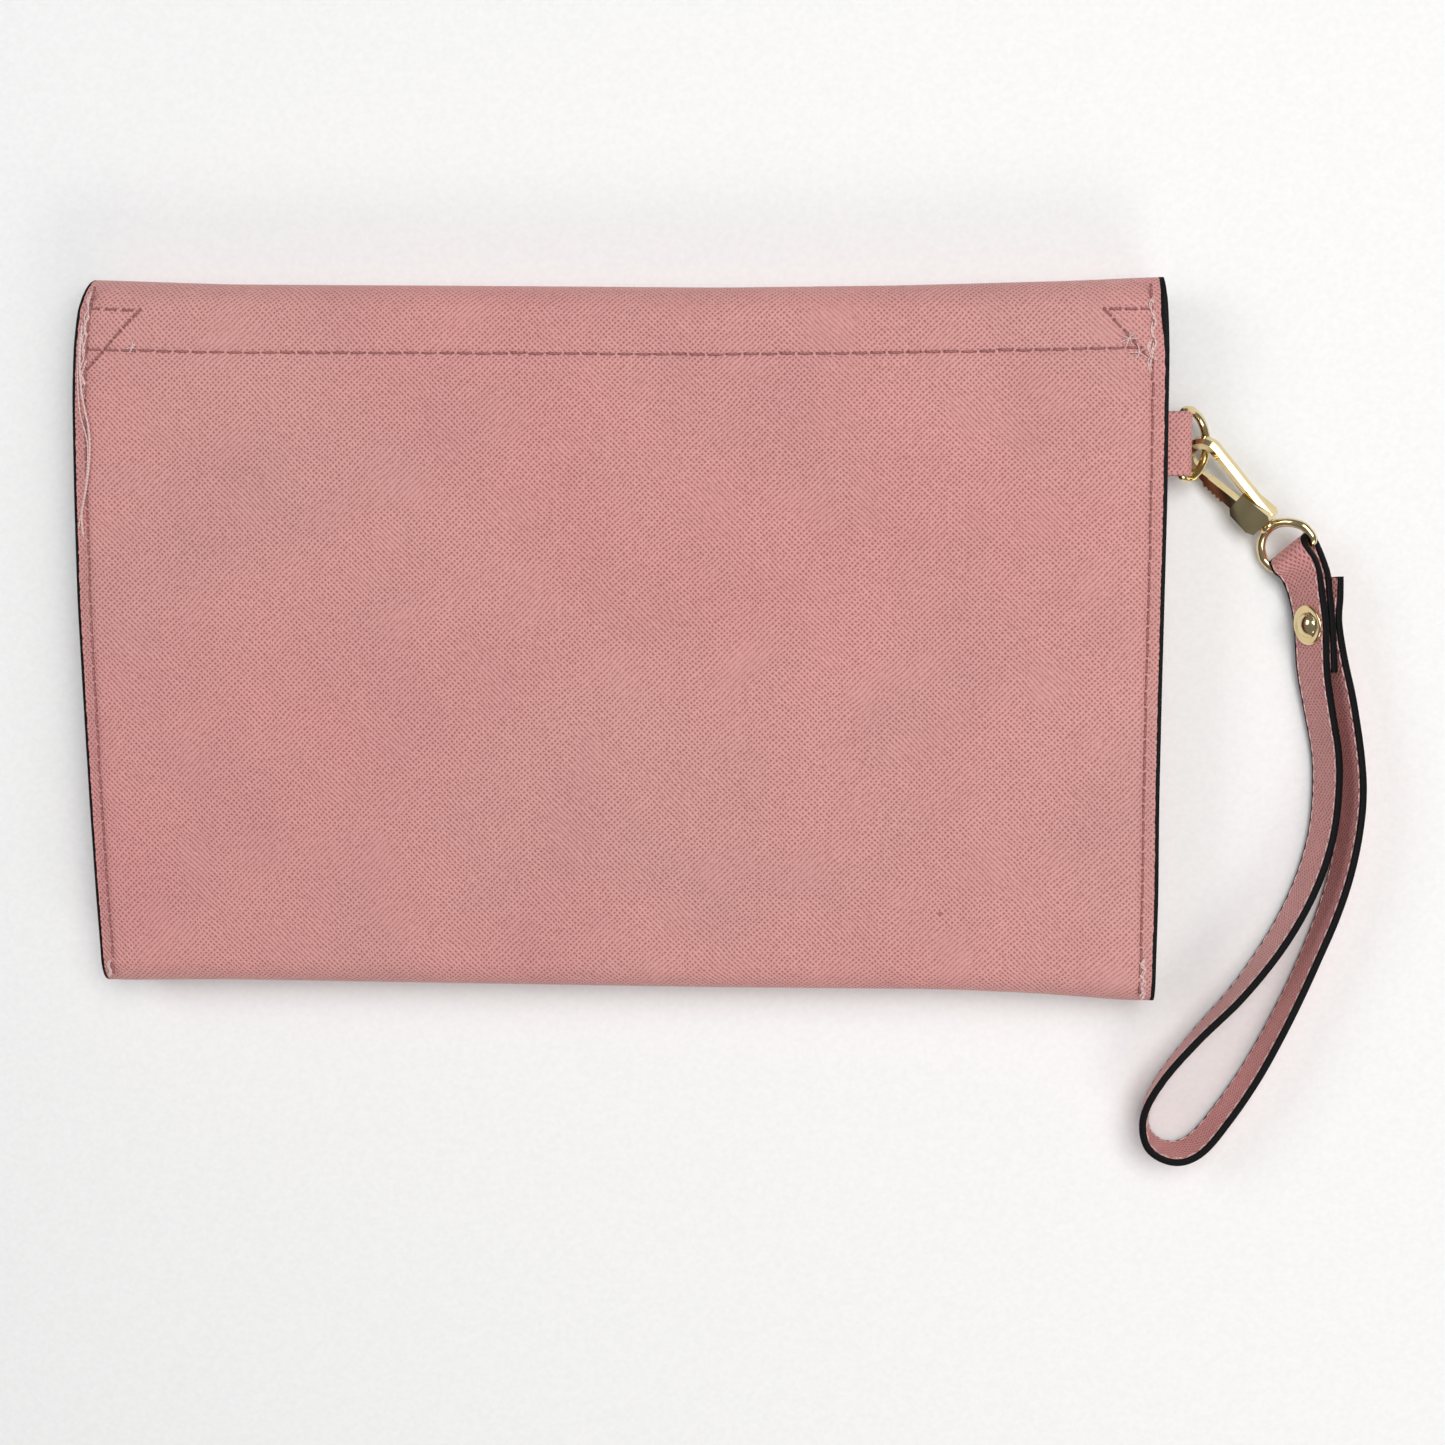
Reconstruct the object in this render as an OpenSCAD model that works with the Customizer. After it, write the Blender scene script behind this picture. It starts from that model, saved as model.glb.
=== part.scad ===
// Envelope wristlet wallet lying on its closed flap, back panel up.
// X runs along the width, Y towards the top fold, Z up through the thickness.
// The origin is the middle of the body's outline, on the flap's outer face.

/* [Body] */
// Width of the body, side edge to side edge
body_w = 240; // [200:1:290]
// Height of the body, bottom fold to top fold
body_h = 160; // [140:1:195]
// Clear depth of the main compartment
main_gap = 5; // [4.5:0.5:12]
// Thickness of the outer leather
leather_t = 1.2; // [0.9:0.1:1.6]
// Thickness of the lining cloth
lining_t = 0.4; // [0.3:0.1:0.6]
// Thickness of the stiffening boards
board_t = 0.6; // [0.4:0.1:1]
// Depth of the fold in each side gusset
gusset_d = 12; // [8:1:15]

/* [Flap] */
// Straight part of the flap's side, measured from the fold
flap_side = 52; // [30:1:70]
// Length of the flap from the fold to its tip
flap_drop = 112; // [95:1:125]
// Radius of the flap's rounded tip
flap_tip_r = 18; // [8:1:30]
// Radius of the magnetic snap
snap_r = 9; // [6:0.5:11]
// Thickness of the magnet cup
snap_cup_t = 1.9; // [1.5:0.1:2.5]
// Thickness of the snap's plate
snap_plate_t = 0.8; // [0.6:0.1:1.2]

/* [Zip pocket] */
// Length of the zip's chain
zip_len = 170; // [120:1:175]
// Depth of the pocket below the zip
pocket_h = 95; // [60:1:100]

/* [Ring and clasp] */
// Place of the tab along the side, above the body's middle
tab_y = 43.4; // [-20:0.1:50]
// Width of the tab's leather
tab_w = 13; // [10:0.5:13]
// Radius of the ring's wire
ring_wire_r = 0.95; // [0.8:0.05:1]
// Depth of the ring, bar to crown, along the wire's middle
ring_depth = 8.8; // [8.6:0.1:9.4]
// Radius of the hook's bight along the stock's middle
hook_r = 3.5; // [3.4:0.1:3.8]
// Length of the clasp from the bight's centre to its base
clasp_l = 20; // [19:0.5:24]
// Radius of the trigger's pin
pin_r = 0.6; // [0.5:0.05:0.7]
// Radius of the swivel's post
post_r = 1.25; // [1:0.05:1.4]
// Radius of the eye's wire
eye_wire_r = 1; // [0.8:0.05:1.1]

/* [Strap] */
// Width of the strap
strap_w = 10.5; // [9:0.5:11]
// Thickness of the strap
strap_t = 1.6; // [1.2:0.1:1.7]
// Radius of the rivet's flange
rivet_flange_r = 4.5; // [3.5:0.1:4.6]
// Radius of the rivet's dome
rivet_dome_r = 2.9; // [2:0.1:3.2]

/* [Hidden] */
$fn = 48;

leather = "#d29693";
leather_dark = "#8c6462";
lining = "#3a3436";
gold = "#d9c48a";
thread = "#e6c4c0";

// Small gap between pieces that move past each other
clear = 0.1;
// Radial clearance of a running fit
run = 0.05;
// Room that keeps soft pieces on different bodies apart
soft_gap = 0.4;
eps = 0.01;
floor_gap = 0.08;

// Layers through the thickness, from the flap's face up
flap_top = leather_t + lining_t;
plate_top = flap_top + snap_plate_t;
front_z = plate_top + clear + snap_cup_t;
front_board_z = front_z + leather_t;
front_lining_z = front_board_z + board_t;
card_z = front_lining_z + lining_t;
card_panel_t = 0.5;
card_strip_t = 0.45;
main_z = card_z + card_panel_t + 3 * card_strip_t;
back_lining_z = main_z + main_gap;
bag_z = back_lining_z + lining_t;
bag_t = 1.3;
back_board_z = bag_z + bag_t;
back_z = back_board_z + board_t;
top_z = back_z + leather_t;

// The body's shell
fold_r = (top_z - front_z) / 2;
fold_y = -body_h / 2 + fold_r;
mouth_drop = 18;
mouth_y = body_h / 2 - mouth_drop;
side_in = 2;
wall_x = body_w / 2 - side_in;
inner_y = fold_y + 1;

// The flap's two hinge lines
hinge_in = 1.2;
hinge_y = body_h / 2 - hinge_in;
back_hinge_z = back_z + leather_t / 2;
flap_hinge_z = leather_t / 2;
flap_edge_y = hinge_y - soft_gap;
spine_z0 = flap_top + soft_gap;
spine_z1 = back_z - soft_gap;

// The snap
snap_y = flap_edge_y - flap_drop + flap_tip_r + 6;
stud_r = 2.4;
stud_clear = 0.3;
washer_r = snap_r - 2;
washer_t = 0.35;

// The card pockets
card_w = 2 * (wall_x - gusset_d) - 6;
card_y0 = inner_y + 8;
card_step = 14;
card_h = 70;

// The zip
zip_y = mouth_y - 14;
tooth_pitch = 3;
tooth_w = 1.5;
tooth_gap = 0.7;
tooth_h = 1.0;
tooth_reach = 1.7;
tape_t = 0.3;
tape_w = 10;
zip_slot = 8;
zip_ends = 9;
tooth_z = back_lining_z - tape_t - (tooth_h - tape_t) / 2;
slider_l = 9;
slider_w = 6.4;
slider_t = 0.5;
slider_x = zip_len / 2 - slider_l;
pull_l = 22;
pull_w = 5;
pull_t = 0.8;
loop_z = tooth_z - clear - slider_t;
loop_h = pull_t + 2 * clear;

// The tab and the ring
bar_x = body_w / 2 + 4.6;
bar_z = 9.5;
tab_t = 1.3;
tab_r = ring_wire_r + run;
ring_bar = tab_w / 2 + 1.1;
knuckle = 0.05;
ring_tilt = 44.6;

// The clasp's place: its own axes are along, across and through its plane
clasp_from_bar = [5.75, -2.75, -5.2];
clasp_heading = -47.2;
clasp_pitch = 2.9;
clasp_roll = 37.8;
clasp_at = [bar_x, tab_y, bar_z] + clasp_from_bar;
spine_slope = 4.7;
stock_in = 1.25;
stock_flat = 0.8;
stock_ridge = 1.6;
stock_ridge_at = 0.35;
hook_end = 291;
pin_at = [14.2, -1.4];
cheek_w = 2.7;
slot_w = 1.4;
tongue_l = 4;
tongue_w = 0.8;
slot_end = clasp_l - 2.8;
head_r = 1.9;
head_t = 1.3;
eye_depth = 8.4;
eye_u = clasp_l + eye_depth + eye_wire_r + 0.25;
eye_bar = strap_w / 2 + eye_wire_r + 0.3;

function along(h, p) = [cos(h) * cos(p), sin(h) * cos(p), sin(p)];
clasp_u = along(clasp_heading, clasp_pitch);
clasp_flat_v = [-sin(clasp_heading), cos(clasp_heading), 0];
clasp_flat_w = cross(clasp_u, clasp_flat_v);
clasp_v = cos(clasp_roll) * clasp_flat_v + sin(clasp_roll) * clasp_flat_w;
clasp_w = cross(clasp_u, clasp_v);
eye_at = clasp_at + eye_u * clasp_u;

// The strap's route: middle of its width in x and y, height above standing on its edge,
// and the share of its width that its upper edge leans in x and in y.
// It runs from its inner end up past the rivet, round the eye, down past the rivet,
// round the wrist loop and back up to the rivet's outer side.
tail_low = [[156.5, -6.5, 0.4, 0.45, 0], [156, -1, 0.8, 0.47, 0]];
tail_high = [[154.8, 9.5, 0.7, 0.51, 0.09], [154, 14.2, 0.3, 0.56, 0.3]];
loop_start = [[151.4, 15.2, 2.4, 0.58, 0.34], [152.9, 10, 1.9, 0.52, 0.10]];
rivet_spot = [153.9, 3.8, 2, 0.48, 0];
wrist_loop = [
    [154.8, -6.5, 1, 0.44, 0],
    [156.4, -15, 0.4, 0.41, -0.02],
    [158.3, -25, 0.05, 0.37, 0],
    [158.6, -34, 0, 0.34, -0.03],
    [157.8, -43, 0, 0.30, -0.06],
    [155.5, -52, 0, 0.25, -0.09],
    [151.8, -61, 0, 0.19, -0.10],
    [146.7, -70, 0, 0.12, -0.09],
    [139.5, -80, 0, 0.04, -0.03],
    [131, -89.5, 0, -0.04, 0.04],
    [123.6, -99, 0, -0.11, 0.06],
    [119.8, -107, 0, -0.17, 0],
    [120.7, -113.6, 0, -0.12, -0.12],
    [126, -116.4, 0, 0, -0.17],
    [131.6, -114.2, 0, 0.10, -0.14],
    [137.7, -106.5, 0, 0.13, -0.09],
    [143.4, -97.5, 0, 0.13, -0.07],
    [148.1, -88.5, 0, 0.12, -0.06],
    [152.3, -79.5, 0, 0.11, -0.05],
    [156, -70.5, 0, 0.12, -0.05],
    [159.4, -61.5, 0, 0.16, -0.05],
    [162, -52.5, 0, 0.20, -0.05],
    [163.6, -43.5, 0, 0.24, -0.03],
    [164.2, -34.5, 0, 0.28, 0],
    [163.4, -25.5, 0, 0.33, 0],
    [161, -13, 0, 0.41, 0],
    [158.7, -4, 0, 0.46, 0]
];
loop_end = [[157.1, 9.4, 0, 0.53, 0.12], [156.9, 14.2, 0, 0.56, 0.22]];
strap_from = [150.4, 18.9];
wrap_r = eye_wire_r + strap_t / 2 + 0.6;
wrap_slack = 0.35;
strap_steps = 2;

function lean(a, b) = [a, b, sqrt(1 - a * a - b * b)];
strap_move = [eye_at[0], eye_at[1]] - strap_from;
function stand(row) = let (w = lean(row[3], row[4]))
    [[row[0] + strap_move[0], row[1] + strap_move[1],
    strap_w / 2 * w[2] + strap_t / 2 * norm([w[0], w[1]]) + row[2] + floor_gap], w];
function wrap(a) = [eye_at + wrap_slack * clasp_u - wrap_r * (sin(a) * clasp_u + cos(a) * clasp_w),
    clasp_v];

// The rivet's axis crosses the strap's three layers
layer_gap = 0.25;
layer_pitch = strap_t + layer_gap;
rivet_front = stand(rivet_spot);
rivet_axis = unit(cross(rivet_front[1], [0.12, -1, 0]));
function layer(k) = [rivet_front[0] + k * layer_pitch * rivet_axis, rivet_front[1]];

strap_keys = concat(
    [for (row = tail_low) stand(row)], [layer(1)], [for (row = tail_high) stand(row)],
    [for (a = [15 : 50 : 165]) wrap(a)],
    [for (row = loop_start) stand(row)], [layer(0)], [for (row = wrist_loop) stand(row)],
    [layer(2)], [for (row = loop_end) stand(row)]
);
function spline(a, b, c, d, t) = 0.5 * (2 * b + (c - a) * t
    + (2 * a - 5 * b + 4 * c - d) * t * t + (3 * b - a - 3 * c + d) * t * t * t);
function key(i) = strap_keys[max(0, min(len(strap_keys) - 1, i))];
function ride(i, t, k) = spline(key(i - 1)[k], key(i)[k], key(i + 1)[k], key(i + 2)[k], t);
function unit(v) = v / norm(v);
strap_mid = concat(
    [for (i = [0 : len(strap_keys) - 2], s = [0 : strap_steps - 1])
        [ride(i, s / strap_steps, 0), unit(ride(i, s / strap_steps, 1))]],
    [key(len(strap_keys) - 1)]
);
function strap_way(i) = unit(strap_mid[min(len(strap_mid) - 1, i + 1)][0]
    - strap_mid[max(0, i - 1)][0]);
function strap_ring(i) = let (p = strap_mid[i][0], w = strap_mid[i][1],
    n = unit(cross(strap_way(i), w)) * strap_t / 2, h = unit(cross(n, strap_way(i))) * strap_w / 2)
    [p + n + h, p - n + h, p - n - h, p + n - h];

rivet_post_r = 1.1;
rivet_stack = 2 * layer_pitch + strap_t;
rivet_back_r = rivet_flange_r - 0.3;
rivet_t = 0.5;

module across(w) rotate([90, 0, 90]) linear_extrude(w, center = true) children();
module upwards(y0, y1) translate([0, y1, 0]) rotate([90, 0, 0]) linear_extrude(y1 - y0) children();
module slab(w, y0, y1, z, t) translate([-w / 2, y0, z]) cube([w, y1 - y0, t]);

module arc_rod(r, wire, from, to)
    rotate([0, 0, from]) rotate_extrude(angle = to - from) translate([r, 0]) circle(wire);

// A D of round wire: bar along y, crown towards +x, and a small knuckle at each corner
module d_wire(bar, depth, wire) {
    crown_r = (depth * depth + bar * bar) / (2 * depth);
    middle = depth - crown_r;
    corner_a = atan2(bar, -middle);
    translate([0, bar, 0]) rotate([90, 0, 0]) cylinder(r = wire, h = 2 * bar);
    translate([middle, 0, 0]) arc_rod(crown_r, wire, -corner_a, corner_a);
    for (s = [-1, 1]) translate([0, s * bar, 0]) rotate([90, 0, 0]) sphere(wire + knuckle);
}

module clasp_place() multmatrix([
    [clasp_u[0], clasp_v[0], clasp_w[0], clasp_at[0]],
    [clasp_u[1], clasp_v[1], clasp_w[1], clasp_at[1]],
    [clasp_u[2], clasp_v[2], clasp_w[2], clasp_at[2]]]) children();

// ---- body ----

module shell_outline(grow) {
    translate([fold_y, (front_z + top_z) / 2]) circle(fold_r - grow, $fn = 96);
    translate([fold_y, front_z + grow]) square([flap_edge_y - fold_y, 2 * (fold_r - grow)]);
}

module shell() color(leather) across(body_w) difference() {
    shell_outline(0);
    shell_outline(leather_t);
    translate([mouth_y, 0]) square([body_h, back_z]);
    translate([flap_edge_y - eps, 0]) square([body_h, back_z]);
}

module back_board() color(lining) slab(2 * wall_x - 8, inner_y + 4, flap_edge_y - 6, back_board_z, board_t);

module front_board() color(lining) difference() {
    slab(2 * wall_x - 8, inner_y + 4, mouth_y - 3, front_board_z, board_t);
    translate([0, snap_y, front_board_z - 1]) cylinder(r = washer_r + clear, h = board_t + 2);
}

module back_lining() color(lining) difference() {
    slab(2 * wall_x, inner_y, flap_edge_y - 1, back_lining_z, lining_t);
    slab(zip_len + zip_ends, zip_y - zip_slot / 2, zip_y + zip_slot / 2, back_lining_z - 1, lining_t + 2);
}

module front_lining() color(lining) slab(2 * wall_x, inner_y, mouth_y - 0.5, front_lining_z, lining_t);

// Folded side wall: a V whose point is towards the middle
module gusset(side) {
    low = card_z;
    high = back_lining_z;
    wall_t = 0.9;
    apex = wall_x - gusset_d;
    color(leather_dark) upwards(inner_y, mouth_y - 1) scale([side, 1]) polygon([
        [wall_x, low], [wall_x, low + wall_t], [apex + 2.5, (low + high) / 2],
        [wall_x, high - wall_t], [wall_x, high], [apex, (low + high) / 2]]);
}

module gusset_left() gusset(-1);
module gusset_right() gusset(1);

// Seam below the top fold with a triangle tack at each end, and a row down each side
module stitch(x, y, a) translate([x, y, top_z]) rotate([0, 0, a])
    translate([-1.4, -0.25, 0]) cube([2.8, 0.5, 0.15]);

module seam_thread() {
    seam_y = body_h / 2 - 16;
    pitch = 4;
    row = body_w / 2 - 4;
    tack = 9;
    color(thread) {
        for (x = [-row : pitch : row]) stitch(x, seam_y, 0);
        for (s = [-1, 1], i = [0 : 2]) {
            stitch(s * (row - 1), seam_y + 3 + i * 3, 90);
            stitch(s * (row - 2.5 - i * 3.4), seam_y + tack + 0.5, 0);
            stitch(s * (row - 3 - i * 3), seam_y + 2 + i * 2.6, 135 * s);
        }
    }
}

module ring_tab() color(leather) translate([bar_x, tab_y, bar_z]) upwards(-tab_w / 2, tab_w / 2) difference() {
    union() {
        circle(tab_r + tab_t);
        translate([wall_x + clear - bar_x, -tab_r - tab_t]) square([bar_x - wall_x - clear, 2 * (tab_r + tab_t)]);
    }
    circle(tab_r);
    translate([wall_x - bar_x - 1, -tab_r]) square([bar_x - wall_x + 1, 2 * tab_r]);
}

module snap_cup() color(gold) translate([0, snap_y, front_z - snap_cup_t]) difference() {
    cylinder(r = snap_r, h = snap_cup_t);
    translate([0, 0, -1]) cylinder(r = stud_r + stud_clear, h = snap_cup_t + 2);
}

module washer(z) translate([0, snap_y, z]) difference() {
    cylinder(r = washer_r, h = washer_t);
    translate([0, 0, -1]) cylinder(r = stud_r, h = washer_t + 2);
}

module snap_washer_front() color("silver") washer(front_board_z);

module card_panel() color(lining) slab(card_w, card_y0, mouth_y - 6, card_z, card_panel_t);

module card_strip(i, z) color(leather)
    slab(card_w - 4, card_y0 + 1, card_y0 + card_h + i * card_step, z, card_strip_t);

module card_strip_top() card_strip(2, card_z + card_panel_t);
module card_strip_mid() card_strip(1, card_z + card_panel_t + card_strip_t);
module card_strip_low() card_strip(0, card_z + card_panel_t + 2 * card_strip_t);

// ---- zip pocket ----

module zip_bag() {
    cloth = 0.3;
    bag_w = zip_len + zip_ends + 3;
    bag_y1 = zip_y + zip_slot / 2 + 6;
    bag_y0 = zip_y - pocket_h;
    color(lining) difference() {
        slab(bag_w, bag_y0, bag_y1, bag_z, bag_t);
        slab(bag_w - 2 * cloth, bag_y0 + cloth, bag_y1 - cloth, bag_z + cloth, bag_t - 2 * cloth);
        slab(zip_len + zip_ends, zip_y - zip_slot / 2, zip_y + zip_slot / 2, bag_z - 1, 1 + 2 * cloth);
    }
}

module zip_tapes() color("#2c2828") for (s = [0, 1]) translate([0, zip_y, 0]) mirror([0, s, 0])
    slab(zip_len + zip_ends, tooth_gap / 2 + tooth_reach / 2, tape_w, back_lining_z - tape_t, tape_t);

module zip_teeth() color(gold) for (s = [0, 1]) translate([0, zip_y, 0]) mirror([0, s, 0])
    for (x = [-zip_len / 2 : tooth_pitch : zip_len / 2 - tooth_w])
        translate([x + s * tooth_pitch / 2, tooth_gap / 2, tooth_z])
            difference() {
                cube([tooth_w, tooth_reach, tooth_h]);
                translate([-1, tooth_reach / 2 - eps, tooth_z_cut()]) cube([tooth_w + 2, 5, tape_t + 2 * eps]);
            }

function tooth_z_cut() = (tooth_h - tape_t) / 2 - eps;

module zip_stops() color(gold) for (x = [-zip_len / 2 - 3.6, zip_len / 2 + 1.6])
    translate([x, zip_y - tooth_reach, tooth_z]) difference() {
        cube([2, 2 * tooth_reach, tooth_h]);
        translate([-1, -1, tooth_z_cut()]) cube([4, 2 * tooth_reach + 2, tape_t + 2 * eps]);
    }

// Two plates joined by a thin divider that runs between the rows of teeth
module zip_slider() color(gold) translate([slider_x - slider_l / 2, zip_y, 0]) {
    for (z = [tooth_z - clear - slider_t, tooth_z + tooth_h + clear])
        translate([0, -slider_w / 2, z]) cube([slider_l, slider_w, slider_t]);
    translate([slider_l - 2.2, -tooth_gap / 2 + clear, tooth_z - clear - eps])
        cube([2, tooth_gap - 2 * clear, tooth_h + 2 * clear + 2 * eps]);
    translate([slider_l / 2, 0, loop_z - loop_h - slider_t]) {
        cylinder(r = 1.2, h = slider_t);
        cylinder(r = 0.7, h = loop_h + slider_t + eps);
    }
}

module zip_pull() color(gold) translate([slider_x, zip_y, loop_z - clear - pull_t]) difference() {
    union() {
        cylinder(r = 2, h = pull_t);
        translate([-pull_l + pull_w / 2, -pull_w / 2, 0]) cube([pull_l - pull_w / 2 - 1, pull_w, pull_t]);
        translate([-pull_l + pull_w / 2, 0, 0]) cylinder(r = pull_w / 2, h = pull_t);
    }
    translate([0, 0, -1]) cylinder(r = 0.7 + run, h = pull_t + 2);
}

// ---- flap ----

module flap_spine() color(leather) slab(body_w, hinge_y, hinge_y + leather_t, spine_z0, spine_z1 - spine_z0);

module spine_lining() color(lining)
    slab(body_w - 4, hinge_y - lining_t, hinge_y, spine_z0 + 0.6, spine_z1 - spine_z0 - 1.2);

// Envelope outline: straight sides, then two slopes that meet in a round tip
module flap_outline(inset) {
    half = body_w / 2 - inset;
    top = flap_edge_y - inset;
    shoulder = flap_edge_y - flap_side;
    tip_r = flap_tip_r - inset;
    tip_y = flap_edge_y - flap_drop + flap_tip_r;
    reach = norm([half, shoulder - tip_y]);
    lean_a = atan2(shoulder - tip_y, half);
    turn = acos(tip_r / reach);
    touch = lean_a - turn;
    polygon(concat([[half, top], [half, shoulder]],
        [for (i = [0 : 12]) let (a = touch - i * (180 + 2 * touch) / 12)
            [tip_r * cos(a), tip_y + tip_r * sin(a)]],
        [[-half, shoulder], [-half, top]]));
}

module flap_leather() color(leather) linear_extrude(leather_t) flap_outline(0);

module flap_lining() color(lining) translate([0, 0, leather_t]) difference() {
    linear_extrude(lining_t) flap_outline(1.5);
    translate([0, snap_y, -1]) cylinder(r = washer_r + clear, h = lining_t + 2);
}

module snap_plate() color(gold) translate([0, snap_y, flap_top]) cylinder(r = snap_r, h = snap_plate_t);

module snap_stud() color(gold) translate([0, snap_y, plate_top]) cylinder(r = stud_r, h = snap_cup_t - 0.5);

module snap_washer_flap() color("silver") washer(leather_t);

// ---- ring and clasp ----

module d_ring() color(gold) translate([bar_x, tab_y, bar_z]) rotate([0, ring_tilt, 0])
    d_wire(ring_bar, ring_depth, ring_wire_r);

// Roofed section of the hook: a ridge on each face, nearer the outer edge
module hook_section() polygon([
    [-stock_in, -stock_flat], [-stock_in, stock_flat], [stock_ridge_at, stock_ridge],
    [stock_in, stock_flat], [stock_in, -stock_flat], [stock_ridge_at, -stock_ridge]]);

module clasp_body() color(gold) clasp_place() difference() {
    union() {
        rotate([0, 0, 90 - spine_slope]) rotate_extrude(angle = hook_end - 90 + spine_slope)
            translate([hook_r, 0]) hook_section();
        rotate([0, 0, -spine_slope]) translate([0, hook_r, 0]) rotate([90, 0, 90])
            linear_extrude(clasp_l - 1) hook_section();
        translate([0, 0, -cheek_w]) linear_extrude(2 * cheek_w) polygon([
            [pin_at[0] - 2.6, 2], [pin_at[0] - 2, -2.6], [pin_at[0] - 0.8, -3.6],
            [clasp_l - 1.6, -3.6], [clasp_l, -2.6], [clasp_l, 2.6], [clasp_l - 1.2, 3.2]]);
    }
    translate([5, -8, -slot_w]) cube([slot_end - 5, 8.9, 2 * slot_w]);
    translate([pin_at[0], pin_at[1], -5]) cylinder(r = pin_r, h = 10);
    translate([slot_end - eps, 0, 0]) rotate([0, 90, 0]) cylinder(r = head_r + run, h = head_t + 0.1);
    translate([slot_end, 0, 0]) rotate([0, 90, 0]) cylinder(r = post_r + run, h = 5);
}

// Ribbed gate bar on its pin, with a fork that holds the spring
module trigger() color(gold) clasp_place() difference() {
    union() {
        translate([0, 0, -slot_w + clear]) linear_extrude(2 * (slot_w - clear)) polygon([
            [tongue_l, -4], [pin_at[0] - 1, -3.1], [pin_at[0] + 1, -2.8],
            [pin_at[0] + 1.5, -1.4], [pin_at[0] + 0.8, 0], [pin_at[0] - 0.8, 0.1],
            [pin_at[0] - 2.4, -0.8], [tongue_l, -2.2]]);
        translate([0, 0, -tongue_w]) linear_extrude(2 * tongue_w) polygon([
            [2.1, -2.7], [2.4, -4], [tongue_l + 1, -4], [tongue_l + 1, -2.1]]);
        for (i = [0 : 4]) translate([tongue_l + 0.7 + i * 1.2, -3.95 + i * 0.1, -slot_w + clear])
            cylinder(r = 0.3, h = 2 * (slot_w - clear), $fn = 24);
    }
    translate([pin_at[0], pin_at[1], -5]) cylinder(r = pin_r + run, h = 10);
    translate([pin_at[0], pin_at[1], -0.7]) cylinder(r = 1.9, h = 1.4);
}

module trigger_pin() color(gold) clasp_place() translate([pin_at[0], pin_at[1], -cheek_w])
    cylinder(r = pin_r, h = 2 * cheek_w);

module trigger_spring() color("silver") clasp_place() translate([pin_at[0], pin_at[1], 0])
    for (i = [-1 : 1]) translate([0, 0, i * 0.4]) rotate_extrude() translate([1, 0]) circle(0.22, $fn = 16);

// Post with a peened head, and the D-shaped eye that it carries
module swivel_eye() color(gold) clasp_place() {
    boss_u = clasp_l + 0.15;
    crown_u = eye_u - eye_depth;
    translate([slot_end + 0.05, 0, 0]) rotate([0, 90, 0]) cylinder(r = head_r, h = head_t);
    translate([slot_end + 0.05, 0, 0]) rotate([0, 90, 0]) cylinder(r = post_r, h = crown_u - slot_end);
    translate([boss_u, 0, 0]) rotate([0, 90, 0]) cylinder(r = 2, h = 1.2);
    translate([eye_u, 0, 0]) rotate([0, 0, 180]) d_wire(eye_bar, eye_depth, eye_wire_r);
}

// ---- strap ----

module strap_solid() {
    rings = len(strap_mid);
    points = [for (i = [0 : rings - 1]) each strap_ring(i)];
    walls = [for (i = [0 : rings - 2], j = [0 : 3]) let (k = (j + 1) % 4)
        each [[4 * i + j, 4 * i + k, 4 * i + 4 + k], [4 * i + j, 4 * i + 4 + k, 4 * i + 4 + j]]];
    last = 4 * (rings - 1);
    polyhedron(points, concat(walls, [[3, 2, 1, 0], [last, last + 1, last + 2, last + 3]]));
}

// Turns +Z along a direction and moves to a point
module towards(at, dir) translate(at) rotate([0, acos(dir[2]), atan2(dir[1], dir[0])]) children();

module rivet_place() towards(rivet_front[0] - rivet_axis * strap_t / 2, rivet_axis) children();

module strap_band() color(leather_dark) difference() {
    strap_solid();
    rivet_place() translate([0, 0, -1]) cylinder(r = rivet_post_r + run, h = rivet_stack + 2, $fn = 32);
}

module rivet_post() color(gold) rivet_place() cylinder(r = rivet_post_r, h = rivet_stack);

module rivet_cap() color(gold) rivet_place() mirror([0, 0, 1]) rotate_extrude() {
    dome_h = 1.4;
    square([rivet_flange_r, rivet_t]);
    translate([0, rivet_t]) square([rivet_dome_r, dome_h - 0.4]);
    translate([0, rivet_t + dome_h - 0.4]) square([rivet_dome_r - 0.5, 0.4]);
}

module rivet_back() color(gold) rivet_place() translate([0, 0, rivet_stack])
    cylinder(r = rivet_back_r, h = rivet_t);

shell();
back_board();
front_board();
back_lining();
front_lining();
gusset_left();
gusset_right();
seam_thread();
ring_tab();
snap_cup();
snap_washer_front();
card_panel();
card_strip_low();
card_strip_mid();
card_strip_top();
zip_bag();
zip_tapes();
zip_teeth();
zip_stops();
zip_slider();
zip_pull();
flap_spine();
spine_lining();
flap_leather();
flap_lining();
snap_plate();
snap_stud();
snap_washer_flap();
d_ring();
clasp_body();
trigger();
trigger_pin();
trigger_spring();
swivel_eye();
strap_band();
rivet_cap();
rivet_post();
rivet_back();
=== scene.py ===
import math

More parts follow.
